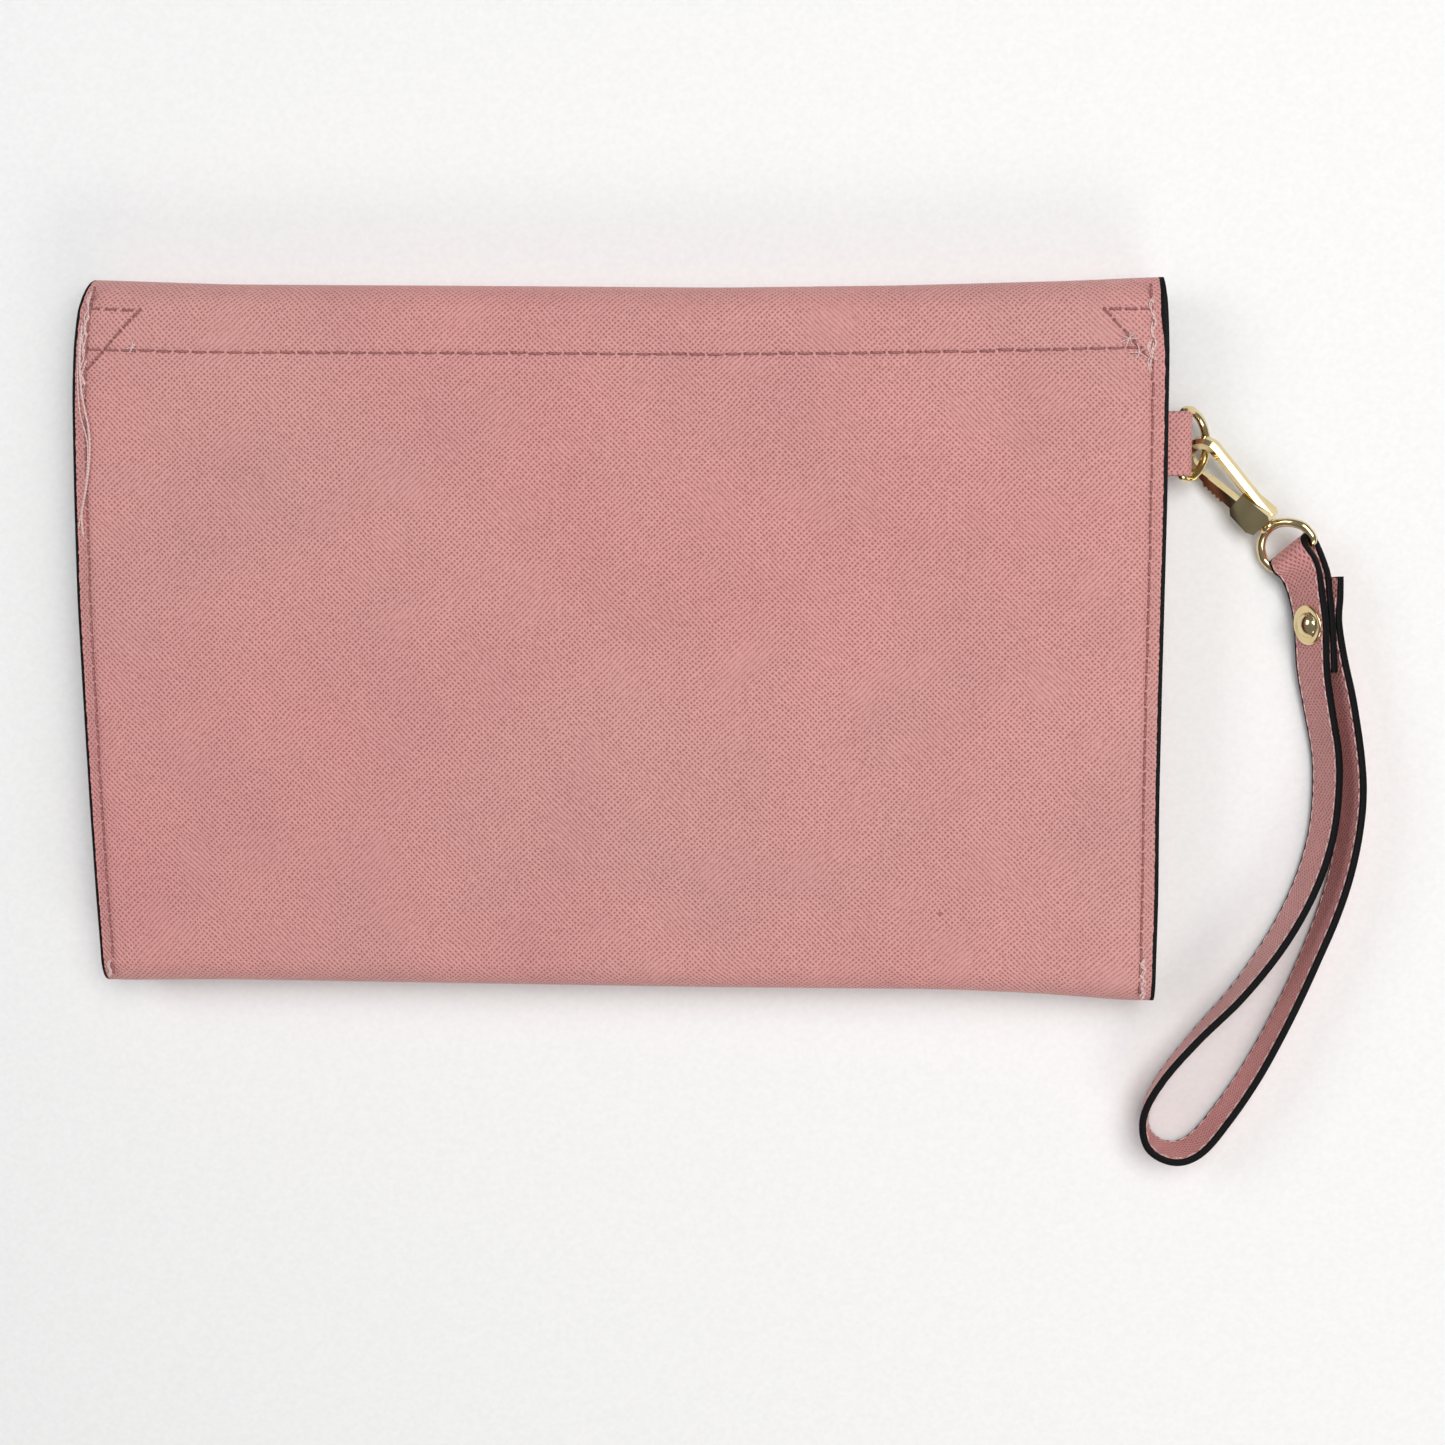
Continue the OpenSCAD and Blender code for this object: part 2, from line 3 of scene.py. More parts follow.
import bpy
import numpy as np
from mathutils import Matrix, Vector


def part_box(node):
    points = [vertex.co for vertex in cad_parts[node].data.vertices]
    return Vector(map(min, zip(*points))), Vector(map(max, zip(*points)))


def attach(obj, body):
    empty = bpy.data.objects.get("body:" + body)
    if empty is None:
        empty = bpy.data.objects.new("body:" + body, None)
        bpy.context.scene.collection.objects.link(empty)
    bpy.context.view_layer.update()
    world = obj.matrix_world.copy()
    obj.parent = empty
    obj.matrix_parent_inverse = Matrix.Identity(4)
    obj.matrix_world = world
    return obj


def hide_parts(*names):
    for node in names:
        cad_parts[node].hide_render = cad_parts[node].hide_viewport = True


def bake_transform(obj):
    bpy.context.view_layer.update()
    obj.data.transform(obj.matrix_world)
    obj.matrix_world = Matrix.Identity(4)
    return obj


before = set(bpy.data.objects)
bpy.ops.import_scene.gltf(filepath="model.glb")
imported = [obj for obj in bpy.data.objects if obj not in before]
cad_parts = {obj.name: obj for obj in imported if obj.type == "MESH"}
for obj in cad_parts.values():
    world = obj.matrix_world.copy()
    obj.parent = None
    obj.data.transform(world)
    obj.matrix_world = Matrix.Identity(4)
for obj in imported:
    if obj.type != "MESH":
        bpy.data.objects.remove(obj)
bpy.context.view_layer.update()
scene = bpy.context.scene
MM = 0.001
rng = np.random.default_rng(7)

# ---- camera, light and floor ----

camera = bpy.data.objects.new("camera", bpy.data.cameras.new("camera"))
scene.collection.objects.link(camera)
camera.data.lens = 53.27
camera.data.sensor_width = 36
camera.data.clip_start = 0.01
camera.location = (0.06104, 0.01777, 0.48869)
camera.rotation_euler = [math.radians(a) for a in (-4.348, 4.467, 0.193)]
scene.camera = camera
scene.view_settings.view_transform = "Standard"


def area_light(name, place, aim, size, power, tint):
    lamp = bpy.data.lights.new(name, "AREA")
    lamp.shape = "RECTANGLE"
    lamp.size, lamp.size_y = size
    lamp.energy = power
    lamp.color = tint
    holder = bpy.data.objects.new(name, lamp)
    scene.collection.objects.link(holder)
    holder.location = place
    way = np.array(aim, float) - np.array(place, float)
    yaw, tip = math.atan2(way[1], way[0]), math.acos(way[2] / np.linalg.norm(way))
    holder.rotation_euler = (math.pi - tip, 0, yaw - math.pi / 2)
    return holder


area_light("softbox_top", (0.35, 0.25, 1.1), (0.03, 0, 0), (0.9, 0.7), 10.4, (1, 0.985, 0.96))
area_light("softbox_left", (-0.9, 0.35, 0.8), (0, 0, 0), (0.7, 0.5), 3.6, (0.96, 0.98, 1))
area_light("softbox_near", (0.5, -0.9, 0.6), (0.1, -0.05, 0), (0.8, 0.3), 3.4, (1, 0.97, 0.94))
world = bpy.data.worlds.new("studio")
world.use_nodes = True
world.node_tree.nodes["Background"].inputs[0].default_value = (0.93, 0.95, 1, 1)
world.node_tree.nodes["Background"].inputs[1].default_value = 0.22
scene.world = world


# ---- node helpers ----

def start_material(name, rough=0.5, metal=0.0):
    m = bpy.data.materials.new(name)
    m.use_nodes = True
    shader = m.node_tree.nodes["Principled BSDF"]
    shader.inputs["Roughness"].default_value = rough
    shader.inputs["Metallic"].default_value = metal
    return m, m.node_tree, shader


def add(tree, kind, values=(), links=(), **attributes):
    n = tree.nodes.new(kind)
    for key, value in attributes.items():
        setattr(n, key, value)
    for key, value in dict(values).items():
        n.inputs[key].default_value = value
    for key, source in dict(links).items():
        tree.links.new(source, n.inputs[key])
    return n


def calc(tree, operation, *terms):
    n = tree.nodes.new("ShaderNodeMath")
    n.operation = operation
    for i, term in enumerate(terms):
        if isinstance(term, (int, float)):
            n.inputs[i].default_value = term
        else:
            tree.links.new(term, n.inputs[i])
    return n.outputs[0]


def ramp(tree, source, stops):
    n = tree.nodes.new("ShaderNodeValToRGB")
    tree.links.new(source, n.inputs[0])
    points = n.color_ramp.elements
    while len(points) < len(stops):
        points.new(0.5)
    for point, (place, colour) in zip(points, stops):
        point.position = place
        point.color = (*colour, 1)
    return n.outputs[0]


def mix(tree, share, a, b, blend="MIX"):
    n = tree.nodes.new("ShaderNodeMix")
    n.data_type = "RGBA"
    n.blend_type = blend
    for key, term in ((0, share), (6, a), (7, b)):
        if isinstance(term, (int, float)):
            n.inputs[key].default_value = term
        elif isinstance(term, tuple):
            n.inputs[key].default_value = (*term, 1)
        else:
            tree.links.new(term, n.inputs[key])
    return n.outputs[2]


def noise(tree, vector, scale, detail=2.0, rough=0.5):
    return add(tree, "ShaderNodeTexNoise", {"Scale": scale, "Detail": detail, "Roughness": rough},
               {"Vector": vector})


def bump(tree, shader, height, distance, strength=1.0):
    n = add(tree, "ShaderNodeBump", {"Distance": distance, "Strength": strength}, {"Height": height})
    tree.links.new(n.outputs[0], shader.inputs["Normal"])


# ---- materials; the leather's and the cloth's coordinates are in millimetres ----

def leather_material(name, ridge, pit, pitch=0.9):
    m, t, shader = start_material(name)
    uv = add(t, "ShaderNodeUVMap").outputs[0]
    drift = noise(t, uv, 0.16, 2).outputs[1]
    drift = add(t, "ShaderNodeVectorMath", {1: (0.5, 0.5, 0.5)}, {0: drift},
                operation="SUBTRACT").outputs[0]
    drift = add(t, "ShaderNodeVectorMath", {"Scale": 1.1}, {0: drift}, operation="SCALE").outputs[0]
    moved = add(t, "ShaderNodeVectorMath", {}, {0: uv, 1: drift}, operation="ADD").outputs[0]
    fine = noise(t, uv, 1.6, 2).outputs[1]
    fine = add(t, "ShaderNodeVectorMath", {1: (0.5, 0.5, 0.5)}, {0: fine}, operation="SUBTRACT").outputs[0]
    fine = add(t, "ShaderNodeVectorMath", {"Scale": 0.4}, {0: fine}, operation="SCALE").outputs[0]
    moved = add(t, "ShaderNodeVectorMath", {}, {0: moved, 1: fine}, operation="ADD").outputs[0]
    turned = add(t, "ShaderNodeMapping", {"Rotation": (0, 0, math.radians(45))}, {"Vector": moved})
    parts = add(t, "ShaderNodeSeparateXYZ", {}, {0: turned.outputs[0]})
    one = calc(t, "SINE", calc(t, "MULTIPLY", parts.outputs[0], 2 * math.pi / pitch))
    two = calc(t, "SINE", calc(t, "MULTIPLY", parts.outputs[1], 2 * math.pi / (pitch * 0.97)))
    share = noise(t, uv, 0.05, 2).outputs[0]
    one = calc(t, "ADD", one, calc(t, "MULTIPLY", calc(t, "SUBTRACT", share, 0.5), 3.0))
    two = calc(t, "ADD", two, calc(t, "MULTIPLY", calc(t, "SUBTRACT", 0.5, share), 3.0))
    lines = calc(t, "MAXIMUM", one, two)
    patchy = noise(t, uv, 0.7, 3).outputs[0]
    lines = calc(t, "ADD", lines, calc(t, "MULTIPLY", calc(t, "SUBTRACT", patchy, 0.5), 1.3))
    level = calc(t, "ADD", calc(t, "MULTIPLY", lines, 0.5), 0.5)
    colour = ramp(t, level, [(0.22, pit), (0.58, ridge), (1.0, tuple(min(1, c * 1.12) for c in ridge))])
    cloud = ramp(t, noise(t, uv, 0.011, 3).outputs[0],
                 [(0.35, (1.03, 0.965, 0.965)), (0.65, (0.985, 1.03, 1.0))])
    colour = mix(t, 1.0, colour, cloud, "MULTIPLY")
    soil = ramp(t, noise(t, uv, 0.03, 5, 0.6).outputs[0],
                [(0.3, (0.93, 0.93, 0.94)), (0.6, (1.02, 1.02, 1.02))])
    colour = mix(t, 1.0, colour, soil, "MULTIPLY")
    speck = add(t, "ShaderNodeVectorMath", {1: (72.8, -61.4, 0)}, {0: uv},
                operation="DISTANCE").outputs["Value"]
    speck = calc(t, "LESS_THAN", calc(t, "ADD", speck, calc(t, "MULTIPLY", patchy, 0.5)), 0.75)
    colour = mix(t, calc(t, "MULTIPLY", speck, 0.55), colour, (0.2, 0.04, 0.05))
    edge = add(t, "ShaderNodeAttribute", attribute_name="edge_mm").outputs["Fac"]
    wobble = calc(t, "MULTIPLY", noise(t, uv, 0.5, 2).outputs[0], 0.5)
    paint = calc(t, "LESS_THAN", calc(t, "ADD", edge, calc(t, "SUBTRACT", wobble, 0.25)), 0.0)
    colour = mix(t, paint, colour, (0.004, 0.004, 0.005))
    t.links.new(colour, shader.inputs["Base Color"])
    rough = calc(t, "SUBTRACT", 0.62, calc(t, "MULTIPLY", level, 0.16))
    rough = calc(t, "ADD", rough, calc(t, "MULTIPLY", paint, 0.1))
    t.links.new(rough, shader.inputs["Roughness"])
    t.links.new(calc(t, "SUBTRACT", 0.42, calc(t, "MULTIPLY", paint, 0.3)),
                shader.inputs["Specular IOR Level"])
    grain = calc(t, "MULTIPLY", noise(t, uv, 9, 2).outputs[0], 0.12)
    unpainted = calc(t, "SUBTRACT", 1.0, calc(t, "MULTIPLY", paint, 0.85))
    height = calc(t, "MULTIPLY", calc(t, "ADD", level, grain), unpainted)
    bump(t, shader, height, 0.00017)
    return m


def cloth_material(name, light, dark, pitch=0.45):
    m, t, shader = start_material(name, 0.85)
    uv = add(t, "ShaderNodeUVMap").outputs[0]
    parts = add(t, "ShaderNodeSeparateXYZ", {}, {0: uv})
    over = calc(t, "SINE", calc(t, "MULTIPLY", parts.outputs[0], 2 * math.pi / pitch))
    under = calc(t, "SINE", calc(t, "MULTIPLY", parts.outputs[1], 2 * math.pi / pitch))
    weave = calc(t, "ADD", calc(t, "MULTIPLY", calc(t, "MULTIPLY", over, under), 0.5), 0.5)
    slub = noise(t, uv, 0.8, 3).outputs[0]
    t.links.new(ramp(t, calc(t, "MULTIPLY", calc(t, "ADD", weave, slub), 0.5), [(0.2, dark), (0.8, light)]),
                shader.inputs["Base Color"])
    bump(t, shader, weave, 0.00008)
    return m


def thread_material(name, light, dark):
    m, t, shader = start_material(name, 0.55)
    place = add(t, "ShaderNodeTexCoord").outputs["Object"]
    ply = add(t, "ShaderNodeTexWave", {"Scale": 700.0, "Distortion": 1.0}, {"Vector": place},
              bands_direction="DIAGONAL")
    fuzz = noise(t, place, 2500, 2).outputs[0]
    t.links.new(ramp(t, calc(t, "MULTIPLY", calc(t, "ADD", ply.outputs["Fac"], fuzz), 0.5),
                     [(0.15, dark), (0.75, light)]),
                shader.inputs["Base Color"])
    bump(t, shader, ply.outputs["Fac"], 0.00006)
    return m


def metal_material(name, colour, rough, dull, scratch=0.000002):
    m, t, shader = start_material(name, rough, 1.0)
    place = add(t, "ShaderNodeTexCoord").outputs["Object"]
    tone = noise(t, place, 260, 4).outputs[0]
    t.links.new(ramp(t, tone, [(0.3, dull), (0.6, colour)]), shader.inputs["Base Color"])
    wear = noise(t, place, 900, 4, 0.65).outputs[0]
    t.links.new(calc(t, "ADD", rough - 0.05, calc(t, "MULTIPLY", wear, 0.05)), shader.inputs["Roughness"])
    bump(t, shader, calc(t, "ADD", tone, wear), scratch)
    return m


def board_material():
    m, t, shader = start_material("board", 0.9)
    place = add(t, "ShaderNodeTexCoord").outputs["Object"]
    pulp = noise(t, place, 700, 4, 0.7).outputs[0]
    t.links.new(ramp(t, pulp, [(0.3, (0.26, 0.22, 0.18)), (0.7, (0.42, 0.37, 0.31))]),
                shader.inputs["Base Color"])
    bump(t, shader, pulp, 0.00005)
    return m


def floor_material():
    m, t, shader = start_material("floor_paper", 0.8)
    place = add(t, "ShaderNodeTexCoord").outputs["Object"]
    fibre = noise(t, place, 900, 3).outputs[0]
    t.links.new(ramp(t, fibre, [(0.3, (0.86, 0.86, 0.86)), (0.7, (0.9, 0.9, 0.9))]),
                shader.inputs["Base Color"])
    bump(t, shader, fibre, 0.00002)
    return m


PINK, PINK_PIT = (0.61, 0.285, 0.272), (0.40, 0.145, 0.138)
leather = leather_material("saffiano_leather", PINK, PINK_PIT)
cloth = cloth_material("lining_twill", (0.07, 0.058, 0.062), (0.022, 0.018, 0.02))
tape_cloth = cloth_material("zip_tape", (0.045, 0.038, 0.04), (0.012, 0.01, 0.011), 0.6)
# seam thread: its own pink, made darker than the leather as painted shade of the stitches sunk in the seam
thread = thread_material("pink_thread_darkened_for_shade", (0.42, 0.17, 0.165), (0.22, 0.075, 0.073))
thread_light = thread_material("loose_thread", (0.80, 0.58, 0.56), (0.55, 0.34, 0.33))
# dark colour of the discs at the needle holes: painted shade inside the holes
hole_painted_shade = thread_material("needle_hole_painted_shade", (0.25, 0.08, 0.08), (0.18, 0.055, 0.055))
gold = metal_material("gold_plate", (0.80, 0.66, 0.37), 0.16, (0.70, 0.55, 0.28))
steel = metal_material("spring_steel", (0.62, 0.62, 0.62), 0.3, (0.5, 0.5, 0.5))
board = board_material()


# ---- mesh helpers; shapes are in millimetres until they are made into objects ----

def make_object(name, verts, faces, mats, face_mats=None, uv=None, edge=None, smooth=True):
    data = bpy.data.meshes.new(name)
    data.from_pydata((np.asarray(verts) * MM).tolist(), [], faces)
    for m in mats:
        data.materials.append(m)
    if face_mats is not None:
        data.polygons.foreach_set("material_index", np.asarray(face_mats, np.int32))
    corner = np.zeros(len(data.loops), np.int32)
    data.loops.foreach_get("vertex_index", corner)
    layer = data.uv_layers.new(name="UVMap")
    flat = np.asarray(verts)[:, :2] if uv is None else np.asarray(uv)
    layer.data.foreach_set("uv", flat[corner].astype(np.float32).ravel())
    near = data.attributes.new("edge_mm", "FLOAT", "POINT")
    far = np.full(len(verts), 50, np.float32)
    near.data.foreach_set("value", far if edge is None else np.asarray(edge, np.float32))
    data.polygons.foreach_set("use_smooth", np.full(len(data.polygons), smooth))
    data.update()
    made = bpy.data.objects.new(name, data)
    scene.collection.objects.link(made)
    return made


def grid_normals(P):
    n = np.cross(np.gradient(P, axis=0), np.gradient(P, axis=1))
    return n / np.maximum(np.linalg.norm(n, axis=2, keepdims=True), 1e-9)


def thick_sheet(name, P, t, uv, edge, mats, keep=None, open_sides=(), bead=0.45, steps=4):
    """A sheet of thickness t below the surface P, with rounded edges all round.

    Its edges are painted where edge is near 0.
    """
    nu, nv = P.shape[:2]
    N = grid_normals(P)
    keep = np.ones((nu - 1, nv - 1), bool) if keep is None else keep
    count = nu * nv
    index = np.arange(count).reshape(nu, nv)
    outer, inner = P.reshape(-1, 3), (P - N * t).reshape(-1, 3)
    normal = N.reshape(-1, 3)
    kept = np.argwhere(keep)
    i, j = kept[:, 0], kept[:, 1]
    quad = np.stack([index[i, j], index[i + 1, j], index[i + 1, j + 1], index[i, j + 1]], 1)
    faces = quad.tolist() + (quad[:, ::-1] + count).tolist()
    face_mats = [0] * len(quad) + [1] * len(quad)
    padded = np.pad(keep, 1)
    beyond = [("v0", padded[1:-1, :-2], (index[:-1, :-1], index[1:, :-1])),
              ("u1", padded[2:, 1:-1], (index[1:, :-1], index[1:, 1:])),
              ("v1", padded[1:-1, 2:], (index[1:, 1:], index[:-1, 1:])),
              ("u0", padded[:-2, 1:-1], (index[:-1, 1:], index[:-1, :-1]))]
    rim = []
    for side, neighbour, (p, q) in beyond:
        bare = keep & ~neighbour
        if side in open_sides:
            if side == "v0":
                bare[:, 0] = False
            if side == "v1":
                bare[:, -1] = False
            if side == "u0":
                bare[0] = False
            if side == "u1":
                bare[-1] = False
        rim.append(np.stack([p[bare], q[bare]], 1))
    rim = np.concatenate(rim)
    push = np.zeros((count, 3))
    out = np.cross(outer[rim[:, 1]] - outer[rim[:, 0]], normal[rim[:, 0]])
    out /= np.maximum(np.linalg.norm(out, axis=1, keepdims=True), 1e-9)
    np.add.at(push, rim[:, 0], out)
    np.add.at(push, rim[:, 1], out)
    on_rim = np.unique(rim)
    push[on_rim] /= np.maximum(np.linalg.norm(push[on_rim], axis=1, keepdims=True), 1e-9)
    slot_of = np.full(count, -1)
    slot_of[on_rim] = np.arange(len(on_rim))
    rings = [on_rim]
    extra = []
    for k in range(1, steps):
        a = math.pi * k / steps
        extra.append(outer[on_rim] + (inner[on_rim] - outer[on_rim]) * (1 - math.cos(a)) / 2
                     + push[on_rim] * t * bead * math.sin(a))
        rings.append(2 * count + (k - 1) * len(on_rim) + np.arange(len(on_rim)))
    rings.append(on_rim + count)
    p, q = slot_of[rim[:, 0]], slot_of[rim[:, 1]]
    for k in range(steps):
        side = np.stack([rings[k][q], rings[k][p], rings[k + 1][p], rings[k + 1][q]], 1)
        faces += side.tolist()
        face_mats += [0] * len(side)
    verts = np.concatenate([outer, inner] + extra)
    flat_uv, flat_edge = uv.reshape(-1, 2), edge.reshape(-1)
    rim_edge = np.where(flat_edge[on_rim] < 1.5, -2.0, flat_edge[on_rim])
    uvs = np.concatenate([flat_uv, flat_uv] + [flat_uv[on_rim] + 0.2 * k for k in range(1, steps)])
    edges = np.concatenate([flat_edge, flat_edge] + [rim_edge] * (steps - 1))
    return make_object(name, verts, faces, mats, face_mats, uvs, edges)


def tube(points, r, sides=8, per=6):
    """Vertices and faces of a round thread through the points, with tapered ends."""
    c = np.array(points, float)
    c = np.concatenate([[2 * c[0] - c[1]], c, [2 * c[-1] - c[-2]]])
    line = []
    for i in range(1, len(c) - 2):
        for s in np.arange(per) / per:
            a, b, d, e = c[i - 1:i + 3]
            line.append(0.5 * (2 * b + (d - a) * s + (2 * a - 5 * b + 4 * d - e) * s ** 2
                               + (3 * b - a - 3 * d + e) * s ** 3))
    line.append(c[-2])
    line = np.array(line)
    way = np.gradient(line, axis=0)
    way /= np.linalg.norm(way, axis=1, keepdims=True)
    up = np.array([0.13, 0.21, 1.0])
    across = np.cross(way, up)
    across /= np.linalg.norm(across, axis=1, keepdims=True)
    over = np.cross(across, way)
    n = len(line)
    radius = r * np.clip(np.minimum(np.arange(n) + 0.4, n - 0.6 - np.arange(n)) / 1.5, 0.15, 1)
    a = np.arange(sides) * 2 * math.pi / sides
    round_way = np.cos(a)[None, :, None] * across[:, None] + np.sin(a)[None, :, None] * over[:, None]
    verts = (line[:, None] + radius[:, None, None] * round_way).reshape(-1, 3)
    faces = [[i * sides + k, i * sides + (k + 1) % sides, (i + 1) * sides + (k + 1) % sides,
              (i + 1) * sides + k]
             for i in range(n - 1) for k in range(sides)]
    faces += [list(range(sides))[::-1], [(n - 1) * sides + k for k in range(sides)]]
    return verts, faces


def gather(name, groups):
    """One object from (verts, faces, material) groups."""
    verts, faces, face_mats, mats, base = [], [], [], [], 0
    for v, f, m in groups:
        if m not in mats:
            mats.append(m)
        verts.append(v)
        faces += [[base + k for k in face] for face in f]
        face_mats += [mats.index(m)] * len(f)
        base += len(v)
    return make_object(name, np.concatenate(verts), faces, mats, face_mats)


def stitch(a, b, n, r=0.26, rise=0.2):
    """A short stitch from a to b on a surface with normal n; its ends dip into the leather."""
    a, b, n = np.array(a, float), np.array(b, float), np.array(n, float)
    points = [a + (b - a) * s + n * h for s, h in ((0, -0.12), (0.14, rise * 0.55), (0.5, rise),
                                                   (0.86, rise * 0.55), (1, -0.12))]
    return tube(points, r, 6, 2)


def hole(p, n, r=0.34):
    """A small flat dark disc just above the leather at a needle hole: painted shade of the hole, not a dent."""
    n = np.array(n, float)
    n /= np.linalg.norm(n)
    side = np.cross(n, [0.3, 0.7, 0.2])
    side /= np.linalg.norm(side)
    other = np.cross(n, side)
    a = np.arange(8) * math.pi / 4
    ring = np.array(p) + n * 0.03 + r * (np.cos(a)[:, None] * side + np.sin(a)[:, None] * other)
    return np.concatenate([ring, [np.array(p) + n * 0.05]]), [[k, (k + 1) % 8, 8] for k in range(8)]


# ---- the body's shape ----

LEFT = np.array([(-80, 1.3), (-72.8, 1.1), (-61.1, 0.3), (-37.9, -0.9), (-14.9, -1.9), (8, -2.8),
                 (30.7, -3.1),
                 (53.3, -3.1), (64.5, -2.6), (72, -1.6), (76, -0.8), (80, 1.0)])
RIGHT = np.array([(-80, 0), (-68.5, 0.1), (-57.3, 0.3), (-35, 0.1), (-12.8, 0.2), (9.2, 0.4), (31, 0.6),
                  (52.7, 0.5),
                  (63.5, 0.5), (74.3, 0), (80, -0.7)])
TOP = np.array([(-120, 0.6), (-88.5, -0.6), (-37.3, -1.2), (23.1, -2.0), (62.7, -1.8), (101.7, -1.0),
                (120, -0.3)])
BOTTOM = np.array([(-120, 0), (-91.6, 0.7), (-38.8, 0.8), (23.4, 1.0), (74.3, 1.5), (94.4, 1.0),
                   (114.5, -0.2), (120, -0.3)])
HALF = 120.0
MID_Z = 9.5
TOP_Z = 16.9
FRONT_Z = 4.4


def along_table(table, at):
    from_left = np.interp(at, table[:, 0], table[:, 1])
    near = (np.interp(at - 4, table[:, 0], table[:, 1]) + np.interp(at + 4, table[:, 0], table[:, 1])) / 2
    return (from_left + near) / 2


def settle(x, y, z):
    """Moves points of the plain body to where the sewn and used one has them."""
    share = np.clip((x + HALF) / (2 * HALF), 0, 1)
    x1 = x + along_table(LEFT, y) * (1 - share) ** 3 + along_table(RIGHT, y) * share ** 3
    up = np.clip((y + 80) / 160, 0, 1)
    y1 = y + along_table(TOP, x) * up ** 3 + along_table(BOTTOM, x) * (1 - up) ** 3
    inset = HALF - np.abs(x)
    z1 = MID_Z + (z - MID_Z) * (1 - 0.30 * np.exp(-(np.maximum(inset, 0) / 3.0) ** 2))
    return np.stack([x1, y1, z1], -1)


def swell(x, y):
    """Small swells and dents of the back panel, the sewn seam's groove and the ridge below it."""
    wave = (0.16 * np.sin(x / 31 + 0.6) * np.sin(y / 26 + 0.9) + 0.1 * np.sin(x / 17 - y / 23)
            + 0.07 * np.sin(y / 11 + x / 40))
    fade = (np.clip((HALF - np.abs(x)) / 12, 0, 1) * np.clip((y + 78) / 14, 0, 1)
            * np.clip((76 - y) / 8, 0, 1))
    seam = -0.3 * np.exp(-((y - 63.9) / 0.7) ** 2)
    ridge = 0.22 * np.exp(-((y - 59.2) / 1.3) ** 2) - 0.1 * np.exp(-((y - 55.5) / 2.2) ** 2)
    sides = -0.22 * np.exp(-((np.abs(x) - 116.9) / 0.6) ** 2) * np.clip((76 - y) / 4, 0, 1)
    return wave * fade + (seam + ridge) * np.clip((HALF - np.abs(x)) / 3, 0, 1) + sides


def back_point(x, y):
    x, y = np.asarray(x, float), np.asarray(y, float)
    return settle(x, y, TOP_Z + swell(x, y))


def back_normal(x, y):
    a = back_point(x + 0.2, y) - back_point(x - 0.2, y)
    b = back_point(x, y + 0.2) - back_point(x, y - 0.2)
    n = np.cross(a, b)
    return n / np.linalg.norm(n)


FOLD_Y, FOLD_Z = 72.0, 8.45
cross_x = np.unique(np.concatenate([np.arange(-HALF, HALF + 0.1, 1.6), [HALF],
                                    [s * v for s in (-1, 1) for v in (119.7, 119.4, 119.1, 118.6, 118.1,
                                            117.6, 117.2, 116.9, 116.6, 116.2, 115.6)]]))


def body_path():
    rows = []
    for a in np.radians(np.arange(0, 90, 6)):
        rows.append((FOLD_Y + 8 * math.cos(a), FOLD_Z + 8.45 * math.sin(a)))
    y = np.unique(np.round(np.concatenate([np.arange(-73.7, FOLD_Y, 1.6), np.arange(62.3, 65.6, 0.3),
                                           np.arange(56, 61.2, 0.65), [FOLD_Y]]), 3))[::-1]
    rows += [(v, TOP_Z) for v in y]
    for a in np.radians(np.arange(8, 180, 8)):
        rows.append((-73.7 - 6.25 * math.sin(a), 10.65 + 6.25 * math.cos(a)))
    rows += [(v, FRONT_Z) for v in np.arange(-73.7, 62.1, 2.7)] + [(62.0, FRONT_Z)]
    return np.array(rows)


path = body_path()
step = np.concatenate([[0], np.cumsum(np.linalg.norm(np.diff(path, axis=0), axis=1))])
start = int(np.argmin(np.abs(path[:, 0] - FOLD_Y) + np.abs(path[:, 1] - TOP_Z)))
run = FOLD_Y - (step - step[start])
X, Y = np.meshgrid(cross_x, path[:, 0])
Z = np.repeat(path[:, 1:2], len(cross_x), 1)
on_back = (np.abs(Z - TOP_Z) < 1e-6)
Z = Z + np.where(on_back, swell(X, Y), 0)
body_grid = settle(X, Y, Z)
uv = np.stack([X, np.repeat(run[:, None], len(cross_x), 1)], -1)
lap = 0.35 + 0.7 * np.exp(-((Y - 72) / 7) ** 2) * (X > 0) * (Z > FOLD_Z)
edge = HALF - np.abs(X) - lap
edge = np.where(Z < FRONT_Z + 0.1, np.minimum(edge, 62.0 - Y - 0.6), edge)
body_leather = thick_sheet("body_leather", body_grid, 1.2, uv, edge, [leather, cloth], open_sides=("u0",))
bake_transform(body_leather)
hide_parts("shell")


# ---- the flap ----

SHOULDER, TIP, TIP_R = 26.4, -33.6, 18.0


def flap_half(y):
    tip_y = TIP + TIP_R
    reach = math.hypot(HALF, SHOULDER - tip_y)
    touch = math.atan2(SHOULDER - tip_y, HALF) - math.acos(TIP_R / reach)
    tx, ty = TIP_R * math.cos(touch), tip_y + TIP_R * math.sin(touch)
    if y >= SHOULDER:
        return HALF
    if y >= ty:
        return tx + (HALF - tx) * (y - ty) / (SHOULDER - ty)
    return math.sqrt(max(TIP_R ** 2 - (y - tip_y) ** 2, 0.09))


def flap_rows(depth):
    """The flap's line from the outside of the fold to the tip, depth below its outer face."""
    rows = [(FOLD_Y + (8 - depth) * math.cos(a), FOLD_Z - (8.45 - depth) * math.sin(a))
            for a in np.radians(np.arange(0, 90, 6))]
    rows += [(y, depth) for y in np.concatenate([np.arange(FOLD_Y, -30, -1.7), np.arange(-30, -33.5, -0.35),
                                                 [TIP + 0.02]])]
    return np.array(rows)


